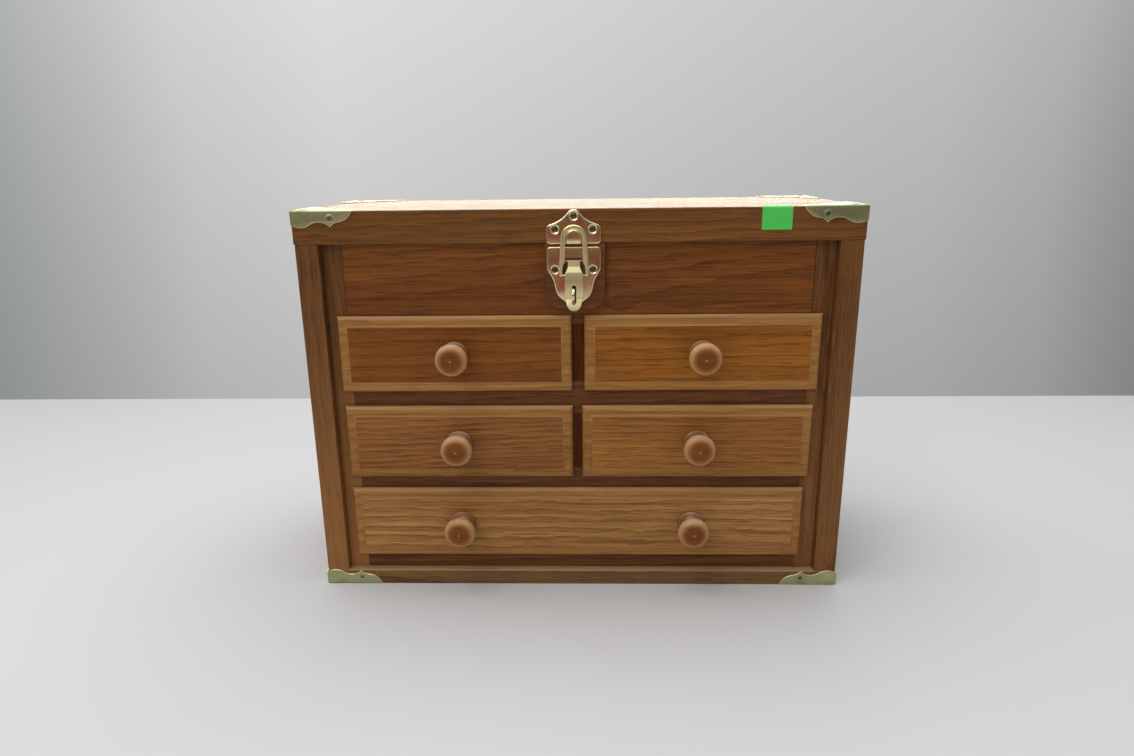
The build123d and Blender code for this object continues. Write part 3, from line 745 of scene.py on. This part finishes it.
corner = {
    "arm": 45.0,
    "sheet": 0.8 * mm,
    "foldRadius": 1.3 * mm,
    "rimWidth": 0.45 * mm,
    "nailAlong": 28.5,
    "nailIn": 6.0,
    "leafNail": 8.0,
    "ringHeight": 0.3 * mm,
}

flangeSteps = [
    ((corner["arm"], 0),),
    ((41.0, 5.8), (35.8, 8.4)),
    ((31.4, 9.5), (28.4, 12.1)),
    ((20.6, 8.5), (14.0, 10.4)),
    ((6.6, 12.5), (0, 10.0)),
    ((0, 0),),
]
leafSteps = [
    ((corner["arm"], 0),),
    ((41.5, 9.0), (32.5, 13.6)),
    ((26.4, 17.2), (23.5, 23.5)),
    ((17.2, 26.4), (13.6, 32.5)),
    ((9.0, 41.5), (0, corner["arm"])),
    ((0, 0),),
]
cornerPoint = Vector((chest["cornerX"], chest["cornerY"], chest["topZ"]))


def cornerOutlines():
    leaf = drawOutline("leaf", (0, 0), leafSteps, lambda u, v: cornerPoint + Vector((u, v, 0)) * mm)
    front = drawOutline("flange", (0, 0), flangeSteps, lambda u, w: cornerPoint + Vector((u, 0, -w)) * mm)
    side = drawOutline("flange", (0, 0), flangeSteps, lambda v, w: cornerPoint + Vector((0, v, -w)) * mm)
    return joined("cornerBrass", leaf, front, side)


def raisedRing(place, turn):
    # the sheet stands up a little round each nail
    rings = [(3.3 * mm, -0.1 * mm), (3.0 * mm, 0.06 * mm), (2.4 * mm, corner["ringHeight"]),
             (1.9 * mm, corner["ringHeight"] - 0.02 * mm), (1.45 * mm, -0.15 * mm)]
    ring = ringsTurned("nailRing", rings, 28, close=False)
    ring.data.transform(Matrix.Translation(place) @ turn)
    ring.data.materials.append(cornerBrass)
    return ring


def nailPlaces(withLeaf):
    reach, inset, onLeaf = corner["nailAlong"] * mm, corner["nailIn"] * mm, corner["leafNail"] * mm
    places = [
        (cornerPoint + Vector((reach, 0, -inset)), Matrix.Rotation(math.pi / 2, 4, "X")),
        (cornerPoint + Vector((0, reach, -inset)), Matrix.Rotation(-math.pi / 2, 4, "Y")),
    ]
    if withLeaf:
        places.append((cornerPoint + Vector((onLeaf, onLeaf, 0)), Matrix.Identity(4)))
    return places


def onCutEdge(edge):
    # the outer arris all round the sheet, between its cut edge and the side that is seen
    kinds = {face.material_index: face.normal for face in edge.link_faces}
    seen = kinds.get(0)
    return len(kinds) == 2 and (seen.x < -0.2 or seen.y < -0.2 or seen.z > 0.2)


def brassCorner(withLeaf):
    piece = cornerOutlines()
    facingOut(piece)
    openPiece(piece, "EDGE")
    selectWhere(piece, "edges", lambda edge: len(edge.link_faces) == 2)
    bpy.ops.mesh.bevel(offset=corner["foldRadius"], segments=5, affect="EDGES")
    closePiece()
    outward = sum((face.normal.z * face.area for face in piece.data.polygons), 0.0)
    if outward < 0:
        piece.data.flip_normals()
    piece.data.materials.append(cornerBrass)
    piece.data.materials.append(edgeHighlightBrass)
    applyModifier(piece, "SOLIDIFY", thickness=corner["sheet"], offset=-1, use_even_offset=True,
                  material_offset_rim=1)
    openPiece(piece, "EDGE")
    # the arris takes the paler brass as a painted highlight along the cut edge
    selectWhere(piece, "edges", onCutEdge)
    bpy.ops.mesh.bevel(offset=corner["rimWidth"], segments=3, affect="EDGES", material=1)
    closePiece()
    rims = [raisedRing(place, turn) for place, turn in nailPlaces(withLeaf)]
    return smoothed(joined("cornerBrass", piece, *rims), 35)


mirrorX = Matrix.Diagonal((-1, 1, 1, 1))
mirrorY = Matrix.Diagonal((1, -1, 1, 1))
fourCorners = [Matrix.Identity(4), mirrorX, mirrorY, mirrorX @ mirrorY]
turnedOver = Matrix.Translation((0, 0, chest["topZ"])) @ Matrix.Diagonal((1, 1, -1, 1))


def smallNail():
    rings = [(0.6 * mm, -8.6 * mm), (0.6 * mm, -0.1 * mm), (1.4 * mm, -0.05 * mm), (1.4 * mm, 0.12 * mm),
             (1.1 * mm, 0.3 * mm), (0.5 * mm, 0.38 * mm)]
    return ringsTurned("nail", rings, 20)


for body, slotBase, withLeaf, flip in (("lid", "lid", True, Matrix.Identity(4)), ("case", "base", False, turnedOver)):
    fourPlaces = [turn @ flip for turn in fourCorners]
    corners = copiesAt(f"{slotBase}CornerBrass", brassCorner(withLeaf), fourPlaces)
    dressed(corners, body, "corner_brass", None, f"{slotBase}_corners")
    nailSpots = [
        turn @ Matrix.Translation(place) @ facing for turn in fourPlaces for place, facing in nailPlaces(withLeaf)
    ]
    nails = smoothed(copiesAt(f"{slotBase}CornerNails", smallNail(), nailSpots), 40)
    dressed(nails, body, "nails", nailBrass, f"{slotBase}_corner_nails")
print("corners made")


# draw latch

latch = {
    "x": -2.2,
    "frontY": -80.0,
    "panDepth": 2.0,
    "sheet": 0.8 * mm,
    "panRim": 0.95 * mm,
    "halfWidth": 19.15,
    "dimple": 3.45,
}


def onLatch(depth):
    # a flat place at this distance in front of the chest, seen from the front
    return lambda u, z: Vector((latch["x"] + u, latch["frontY"] - depth, z)) * mm


def roundedShield(name, corners, at):
    # corners are (x, z, length of edge that the rounding takes), down the right-hand side
    right = [(x, z) for x, z, _ in corners]
    left = [(-x, z) for x, z in reversed(right) if x > 0]
    points = right + left
    piece = drawOutline(name, points[0], [((x, z),) for x, z in points[1:] + points[:1]], at)
    for x, z, tangent in corners:
        for sign in (1, -1) if x > 0 else (1,):
            roundCorner(piece, at(sign * x, z), tangent * mm, 7)
    return piece


def pressedPan(piece, depth):
    # walls are drawn forward from the outline, the rim is rounded and the sheet gets its thickness
    backY = latch["frontY"] * mm
    faceY = backY - depth
    thicken(piece, (0, -depth, 0))
    openPiece(piece, "FACE")
    selectWhere(piece, "faces", lambda face: face.normal.y > 0.9)
    bpy.ops.mesh.delete(type="ONLY_FACE")
    bpy.ops.mesh.select_mode(type="EDGE")
    selectWhere(piece, "edges", lambda edge: frontOf(edge, faceY, 0.05 * mm))
    bpy.ops.mesh.bevel(offset=latch["panRim"], segments=5, affect="EDGES")
    closePiece()
    applyModifier(piece, "SOLIDIFY", thickness=latch["sheet"], offset=-1, use_even_offset=True)


def screwDimple(u, z):
    rings = [(latch["dimple"] + 0.25, -0.35), (latch["dimple"] + 0.2, 0.02), (latch["dimple"] - 0.1, 0.06),
             (latch["dimple"] - 0.4, -0.06), (2.2, -0.75), (1.95, -1.05), (1.2, -1.15)]
    piece = ringsTurned("dimple", [(radius * mm, height * mm) for radius, height in rings], 36, close=False)
    piece.data.transform(Matrix.Translation(onLatch(latch["panDepth"])(u, z)) @ Matrix.Rotation(math.pi / 2, 4, "X"))
    return piece


def roundHole(u, z, radius, low, high):
    cutter = ringsTurned("cutter", [(radius * mm, low * mm), (radius * mm, high * mm)], 36)
    cutter.data.transform(Matrix.Translation(onLatch(0)(u, z)) @ Matrix.Rotation(math.pi / 2, 4, "X"))
    return cutter


catchScrews = [(0.0, 288.8), (-13.3, 279.6), (13.3, 279.6)]
baseScrews = [(-13.5, 251.3), (13.5, 251.3)]


def domeBoss():
    # the raised arch that the loop draws down on
    half, top, foot = 5.45, 279.6, 269.6
    arch = top - half
    steps = [((half, arch),), ((0, top), (-half, arch)), ((-half, foot),), ((half, foot),)]
    piece = drawOutline("boss", (half, foot), steps, onLatch(latch["panDepth"] - 0.4))
    thicken(piece, (0, -2.2 * mm, 0))
    faceY = (latch["frontY"] - latch["panDepth"] - 1.8) * mm
    openPiece(piece, "EDGE")
    selectWhere(piece, "edges", lambda edge: frontOf(edge, faceY, 0.05 * mm) and middle(edge).z > (foot + 0.2) * mm)
    bpy.ops.mesh.bevel(offset=1.35 * mm, segments=5, affect="EDGES")
    closePiece()
    applyModifier(piece, "BEVEL", width=0.2 * mm, segments=2, limit_method="ANGLE", angle_limit=math.radians(60))
    return piece


def catchPlate():
    pan = roundedShield("catchPlate", [
        (0, 295.8, 5.96), (9.5, 285.5, 4.6), (latch["halfWidth"], 282.2, 2.1), (latch["halfWidth"], 269.2, 2.4),
    ], onLatch(0))
    pressedPan(pan, latch["panDepth"] * mm)
    for u, z in catchScrews:
        cutWith(pan, roundHole(u, z, latch["dimple"], 0.6, 3.0))
    return smoothed(joined("catchPlate", pan, domeBoss(), *[screwDimple(u, z) for u, z in catchScrews]), 25)


def basePlate():
    pan = roundedShield("basePlate", [
        (latch["halfWidth"], 267.4, 2.6), (latch["halfWidth"], 251.4, 1.2), (14.7, 243.5, 2.4),
        (12.3, 232.6, 3.6), (0, 223.3, 6.8),
    ], onLatch(0))
    pressedPan(pan, latch["panDepth"] * mm)
    for u, z in baseScrews:
        cutWith(pan, roundHole(u, z, latch["dimple"], 0.6, 3.0))
    y = latch["frontY"]
    for half, low, high in ((6.0, 255.5, 259.5), (7.9, 246.2, 255.6), (2.5, 227.9, 239.6)):
        cutWith(pan, newBox("window", ((latch["x"] - half) * mm, (y - 4) * mm, low * mm),
                            ((latch["x"] + half) * mm, (y + 1) * mm, high * mm)))
    return smoothed(joined("basePlate", pan, *[screwDimple(u, z) for u, z in baseScrews]), 35)


def crossScrew(name):
    # countersunk head with a cross recess, the shank along -Z
    rings = [(1.2, -9.6), (1.2, -1.5), (2.05, -0.35), (2.05, -0.2), (1.75, 0.0), (1.1, 0.1)]
    head = ringsTurned(name, [(radius * mm, height * mm) for radius, height in rings], 32)
    for turn in (0, 90):
        slot = newBox("slot", (-1.7 * mm, -0.3 * mm, -0.6 * mm), (1.7 * mm, 0.3 * mm, 1 * mm))
        openPiece(slot, "FACE")
        selectWhere(slot, "faces", lambda face: face.normal.z < -0.9)
        bpy.ops.transform.resize(value=(0.45, 0.7, 1))
        closePiece()
        slot.data.transform(Matrix.Rotation(math.radians(turn), 4, "Z"))
        cutWith(head, slot)
    return head


screwTurns = [0.4, 1.1, 0.2, 0.9, 0.55, 0.1, 0.75, 1.3]


def screwsAt(name, places, facing):
    spots = [
        Matrix.Translation(place) @ facing @ Matrix.Rotation(screwTurns[number % len(screwTurns)], 4, "Z")
        for number, place in enumerate(places)
    ]
    return smoothed(copiesAt(name, crossScrew("screw"), spots), 30)


toFront = Matrix.Rotation(math.pi / 2, 4, "X")
toBack = Matrix.Rotation(-math.pi / 2, 4, "X")
headAt = onLatch(latch["panDepth"] - 0.4)
dressed(catchPlate(), "lid", "latch_brass", latchBrass, "latch_catch_plate")
dressed(basePlate(), "case", "latch_brass", latchBrass, "latch_base_plate")
dressed(screwsAt("catchScrews", [headAt(u, z) for u, z in catchScrews], toFront), "lid", "screws", screwBrass,
        "latch_catch_screws")
dressed(screwsAt("baseScrews", [headAt(u, z) for u, z in baseScrews], toFront), "case", "screws", screwBrass,
        "latch_base_screws")


lever = {
    # (distance in front of the chest, height, half width) along the face, from the neck to the tip
    "rows": [
        (1.15, 257.8, 4.25), (1.95, 253.4, 4.25), (3.1, 251.6, 4.75), (4.3, 249.6, 5.8), (4.62, 248.2, 6.35),
        (5.1, 242.6, 6.35), (5.12, 241.6, 6.35), (4.4, 232.4, 6.35), (4.1, 231.4, 6.2), (4.1, 230.8, 5.5),
        (5.3, 227.7, 5.4),
        (5.95, 225.9, 5.0), (6.4, 224.3, 4.1), (6.7, 223.1, 2.9), (6.88, 222.35, 1.3),
    ],
    "sheet": 1.0 * mm,
    "columns": 10,
}


def sheetOfRows(name, columns, rows, **wall):
    # one edge across the sheet, extruded from row to row and drawn in or out to each row's half width
    clearSelection()
    bpy.ops.mesh.primitive_grid_add(x_subdivisions=columns, y_subdivisions=1, size=1)
    piece = bpy.context.object
    piece.name = name
    openPiece(piece, "VERT")
    selectWhere(piece, "verts", lambda vert: vert.co.y > 0.4)
    bpy.ops.mesh.delete(type="VERT")
    bpy.ops.mesh.select_mode(type="EDGE")
    bpy.ops.mesh.select_all(action="SELECT")
    start = Vector((0, -0.5, 0))
    spot, half = rows[0]
    bpy.ops.transform.resize(value=(2 * half, 1, 1), center_override=start)
    bpy.ops.transform.translate(value=spot - start)
    for newSpot, newHalf in rows[1:]:
        bpy.ops.mesh.extrude_edges_move(TRANSFORM_OT_translate={"value": newSpot - spot})
        if newHalf != half:
            bpy.ops.transform.resize(value=(newHalf / half, 1, 1), center_override=newSpot)
        spot, half = newSpot, newHalf
    closePiece()
    facingOut(piece)
    if sum(face.normal.y * face.area for face in piece.data.polygons) > 0:
        piece.data.flip_normals()
    applyModifier(piece, "SOLIDIFY", **wall)
    return piece


def leverSheet():
    rows = [(onLatch(depth)(0, z), half * mm) for depth, z, half in lever["rows"]]
    return sheetOfRows("latchLever", lever["columns"], rows, thickness=lever["sheet"], offset=-1, use_even_offset=True)


def leverWing(side):
    # the folded edge beside the bail's pin
    outer = latch["x"] + side * 6.35
    at = lambda depth, z: Vector((outer, latch["frontY"] - depth, z)) * mm
    outline = [(4.4, 249.4), (5.0, 242.0), (4.3, 232.0), (3.4, 231.7),
               (2.3, 234.1), (2.0, 246.4), (2.0, 248.5), (2.6, 249.4)]
    wing = drawOutline("wing", outline[0], [(point,) for point in outline[1:] + outline[:1]], at)
    thicken(wing, (-side * lever["sheet"], 0, 0))
    return wing


def latchLever():
    sheet = leverSheet()
    slot = drawOutline("slot", (1.45, 239.05), [
        ((0, 240.5), (-1.45, 239.05)), ((-1.45, 227.65),), ((0, 226.2), (1.45, 227.65)), ((1.45, 239.05),),
    ], onLatch(-2), fineness=0.2)
    thicken(slot, (0, -14 * mm, 0))
    cutWith(sheet, slot)
    applyModifier(sheet, "BEVEL", width=0.38 * mm, segments=3, limit_method="ANGLE", angle_limit=math.radians(55))
    wings = [leverWing(-1), leverWing(1)]
    for wing in wings:
        applyModifier(wing, "BEVEL", width=0.25 * mm, segments=2, limit_method="ANGLE", angle_limit=math.radians(40))
    bar = ringsTurned("trunnion", [(0.5 * mm, -7.5 * mm), (0.5 * mm, 7.5 * mm)], 16)
    bar.data.transform(Matrix.Translation(onLatch(0.65)(0, 257.5)) @ Matrix.Rotation(math.pi / 2, 4, "Y"))
    return smoothed(joined("latchLever", sheet, bar, *wings), 15)


def latchBail():
    # a pressed loop with rounded edges, its pins turned in at the ends
    outer, inner, pivotZ, pivotDepth = 9.25, 5.9, 247.4, 3.05
    arch, innerArch = 282.9 - outer, 279.8 - inner
    near, thick = pivotDepth - 0.6, 1.2
    steps = [
        ((0, 282.9), (-outer, arch)), ((-10.4, 256.0),), ((-10.4, pivotZ),),
        ((-9.2, pivotZ - 1.2), (-8.0, pivotZ)), ((-8.0, 252.6),), ((-6.5, 257.4),), ((-inner, innerArch),),
        ((0, 279.8), (inner, innerArch)), ((6.5, 257.4),), ((8.0, 252.6),), ((8.0, pivotZ),),
        ((9.2, pivotZ - 1.2), (10.4, pivotZ)), ((10.4, 256.0),), ((outer, arch),),
    ]
    loop = drawOutline("latchBail", (outer, arch), steps, onLatch(near))
    thicken(loop, (0, -thick * mm, 0))
    faceY = (latch["frontY"] - near - thick) * mm
    openPiece(loop, "EDGE")
    selectWhere(loop, "edges", lambda edge: frontOf(edge, faceY, 0.05 * mm))
    bpy.ops.mesh.bevel(offset=1.0 * mm, segments=5, affect="EDGES")
    closePiece()
    pivot = onLatch(pivotDepth)(0, pivotZ)
    lean = Matrix.Translation(pivot) @ Matrix.Rotation(math.radians(3.0), 4, "X") @ Matrix.Translation(-pivot)
    loop.data.transform(lean)
    pins = []
    for side in (-1, 1):
        low, high = sorted((side * 4.9, side * 9.0))
        pin = ringsTurned("pin", [(0.6 * mm, low * mm), (0.6 * mm, high * mm)], 16)
        pin.data.transform(Matrix.Translation(pivot) @ Matrix.Rotation(math.pi / 2, 4, "Y"))
        pins.append(pin)
    return smoothed(joined("latchBail", loop, *pins), 35)


def padlockEye():
    # the tongue that stands in the lever's slot, with a hole for a small padlock
    x0 = latch["x"] - 0.4 - 0.85
    at = lambda depth, z: Vector((x0, latch["frontY"] - depth, z)) * mm
    nose, half, z = 6.0, 4.75, 233.75
    steps = [((nose, z + half),), ((nose + half, z), (nose, z - half)), ((1.2, z - half),), ((1.2, z + half),)]
    blade = drawOutline("padlockEye", (1.2, z + half), steps, at)
    thicken(blade, (1.7 * mm, 0, 0))
    hole = ringsTurned("hole", [(2.0 * mm, -3 * mm), (2.0 * mm, 3 * mm)], 28)
    hole.data.transform(Matrix.Translation(Vector((x0 + 0.85, latch["frontY"] - 7.2, z)) * mm)
                        @ Matrix.Rotation(math.pi / 2, 4, "Y"))
    cutWith(blade, hole)
    applyModifier(blade, "BEVEL", width=0.3 * mm, segments=3, limit_method="ANGLE", angle_limit=math.radians(50))
    return smoothed(blade, 35)


dressed(latchLever(), "latch_lever", "latch_brass", leverBrass, "latch_lever")
dressed(latchBail(), "latch_bail", "latch_brass", leverBrass, "latch_bail")
dressed(padlockEye(), "case", "latch_brass", latchBrass, "latch_staple")
print("latch made")


# hinges

def sheetEdge(edge):
    return edge.calc_length() > 1.0 * mm and foldAngle(edge) > 1.2


hinge = {"x": 130 * mm, "screwX": 12 * mm, "rise": 12 * mm, "leafY": 81.2 * mm, "easing": 0.25 * mm}
dressed(easedCopy("hingeLidLeaves", "hinge_lid_leaves", hinge["easing"], sheetEdge, 2), "lid", "hinge_brass",
        hingeBrass, "hinge_lid_leaves")
dressed(easedCopy("hingeCaseLeaves", "hinge_case_leaves", hinge["easing"], sheetEdge, 2), "case", "hinge_brass",
        hingeBrass, "hinge_case_leaves")
dressed(easedCopy("hingePins", "hinge_pins", hinge["easing"], sheetEdge, 2), "case", "hinge_brass", screwBrass,
        "hinge_pins")
for body, node, side in (("lid", "hinge_lid_screws", 1), ("case", "hinge_case_screws", -1)):
    places = [
        Vector((centre + offset, hinge["leafY"] - 0.2 * mm, chest["seamZ"] + side * hinge["rise"]))
        for centre in (-hinge["x"], hinge["x"]) for offset in (-hinge["screwX"], hinge["screwX"])
    ]
    name = "hingeLidScrews" if side > 0 else "hingeCaseScrews"
    dressed(screwsAt(name, places, toBack), body, "screws", screwBrass, node)
print("hinges made")


# blank paper tag on the lid, its upper end turned over the edge

tag = {
    "centreX": 139.7 * mm,
    "halfWidth": 10.5 * mm,
    "paper": 0.1 * mm,
    "line": [  # (y, z) from the lower end up and over the lid's front edge
        (-80.15, 277.8), (-80.1, 282), (-80.1, 287), (-80.1, 291), (-80.1, 292.6), (-79.95, 293.3), (-79.5, 293.72),
        (-78.6, 293.8), (-77.0, 293.85),
    ],
}


def paperTag():
    rows = [(Vector((tag["centreX"], y * mm, z * mm)), tag["halfWidth"]) for y, z in tag["line"]]
    return smoothed(sheetOfRows("paperTag", 8, rows, thickness=tag["paper"], offset=1), 40)


dressed(paperTag(), "lid", None, labelPaper)
print("tag made")


# table, wall, lamps and camera

studio = {
    "tableBack": 0.43,
    "tableTone": (0.605, 0.61, 0.622),
    "backdropLightPool": [  # painted light on the backdrop: tones from the left to the right
        (0.19, (0.37, 0.385, 0.395)), (0.275, (0.63, 0.635, 0.635)), (0.35, (0.72, 0.715, 0.71)),
        (0.5, (0.65, 0.64, 0.635)), (0.7, (0.53, 0.53, 0.535)), (0.75, (0.45, 0.455, 0.46)),
        (0.795, (0.28, 0.29, 0.3)),
    ],
}


def tableFinish():
    material, add, place = newFinish("tablePaint")
    cloud = ramp(add, noise(add, place, 3.0)["Fac"], (0.35, 0.0), (0.7, 0.3))
    colour = mixed(add, cloud, studio["tableTone"], (0.57, 0.575, 0.59))
    finished(add, {"Base Color": colour, "Roughness": 0.9, "Specular IOR Level": 0.0})
    return material


def stagePlane(name, centre, size, finish, upright=False):
    clearSelection()
    turn = (math.pi / 2 if upright else 0, 0, 0)
    bpy.ops.mesh.primitive_plane_add(size=1, location=centre, rotation=turn)
    plane = bpy.context.object
    plane.name = name
    plane.scale = (*size, 1)
    bpy.ops.object.transform_apply(location=True, rotation=True, scale=True)
    plane.data.materials.append(finish)
    return plane


def roomCard(name, centre, size, upright, *tones):
    # a warm card that only polished faces see, as the room before the table: tones from its foot upward
    material, add, place = newFinish(name)
    rise = add("ShaderNodeSeparateXYZ", {"Vector": place}).outputs["Z"]
    glow = add("ShaderNodeEmission", {"Color": ramp(add, rise, *tones), "Strength": 1.0})
    add("ShaderNodeOutputMaterial", {"Surface": glow.outputs[0]})
    card = stagePlane(name, centre, size, material, upright)
    card.visible_camera = card.visible_diffuse = card.visible_shadow = card.visible_transmission = False


back = studio["tableBack"]
stagePlane("table", (0, back / 2 - 2, 0), (8, back + 4), tableFinish())
roomCard("lowCard", (0, -2, 0.004), (5, 2), False,
         (0.0, (0.2, 0.032, 0.027)), (1.0, (0.2, 0.032, 0.027)))
roomCard("highCard", (0, -3, 0.55), (7, 1.1), True,
         (0.0, (0.16, 0.026, 0.02)), (0.1, (0.12, 0.035, 0.02)), (0.2, (0.12, 0.08, 0.045)),
         (0.4, (0.17, 0.15, 0.11)))


def areaLamp(name, place, aim, size, power, colour, onlySeen=False):
    lamp = bpy.data.lights.new(name, "AREA")
    lamp.shape = "RECTANGLE"
    lamp.size, lamp.size_y = size
    lamp.energy = power
    lamp.color = colour
    holder = bpy.data.objects.new(name, lamp)
    bpy.context.collection.objects.link(holder)
    holder.location = place
    holder.rotation_euler = (Vector(aim) - Vector(place)).to_track_quat("-Z", "Y").to_euler()
    holder.visible_camera = False
    holder.visible_diffuse = not onlySeen  # the strip shows in what shines and lights nothing


areaLamp("overhead", (-0.1, 0.1, 1.35), (-0.03, -0.03, 0.1), (1.5, 1.0), 16, (1.0, 0.995, 0.985))
areaLamp("frontFill", (-0.9, -1.5, 1.5), (0, 0, 0.12), (1.2, 0.8), 8.5, (1.0, 0.98, 0.95))
areaLamp("backStrip", (0.0, 2.2, 0.7), (0, 0, 0.29), (4.4, 0.5), 41, (1.0, 0.97, 0.84), onlySeen=True)

world = bpy.data.worlds.new("room")
world.use_nodes = True
bpy.context.scene.world = world
world.node_tree.nodes.clear()
addWorld = nodeAdder(world)
direction = addWorld("ShaderNodeTexCoord").outputs["Generated"]
parts = addWorld("ShaderNodeSeparateXYZ", {"Vector": direction})
# what the camera and shiny faces see of the room is a painted pool of light, brightest left of centre, darker to the
# sides and below
sideways = reckoned(addWorld, "MULTIPLY_ADD", parts.outputs["X"], 0.5, 0.5)
grey = ramp(addWorld, sideways, *studio["backdropLightPool"])
lower = ramp(addWorld, reckoned(addWorld, "ADD", parts.outputs["Z"], 0.5), (0.2, 0.68), (0.68, 1.0))
backdropLightPool = mixed(addWorld, 1.0, grey, lower, "MULTIPLY")
height = ramp(addWorld, parts.outputs["Z"], (0.0, (0.3, 0.27, 0.25)), (0.6, (0.5, 0.5, 0.5)))
rays = addWorld("ShaderNodeLightPath")
seen = reckoned(addWorld, "ADD", rays.outputs["Is Camera Ray"], rays.outputs["Is Glossy Ray"])
seen = reckoned(addWorld, "MAXIMUM", seen, rays.outputs["Is Transmission Ray"])
roomTone = mixed(addWorld, seen, height, backdropLightPool)
roomLight = addWorld("ShaderNodeBackground", {"Color": roomTone, "Strength": 1.0})
addWorld("ShaderNodeOutputWorld", {"Surface": roomLight.outputs[0]})

view = {
    "place": Vector((7.8, -627.1, 322.8)) * mm,
    "right": Vector((0.9996, 0.0258, -0.0116)),
    "up": Vector((0.0043, 0.2677, 0.9635)),
    "lens": 24.33,
}
camera = bpy.data.cameras.new("photoView")
camera.sensor_width = 36
camera.lens = view["lens"]
camera.clip_start = 0.02
cameraHolder = bpy.data.objects.new("photoView", camera)
bpy.context.collection.objects.link(cameraHolder)
right = view["right"].normalized()
up = (view["up"] - right * view["up"].dot(right)).normalized()
behind = right.cross(up)
cameraHolder.matrix_world = Matrix.Translation(view["place"]) @ Matrix((right, up, behind)).transposed().to_4x4()
bpy.context.scene.camera = cameraHolder
bpy.context.scene.view_settings.view_transform = "Standard"
print("studio set")
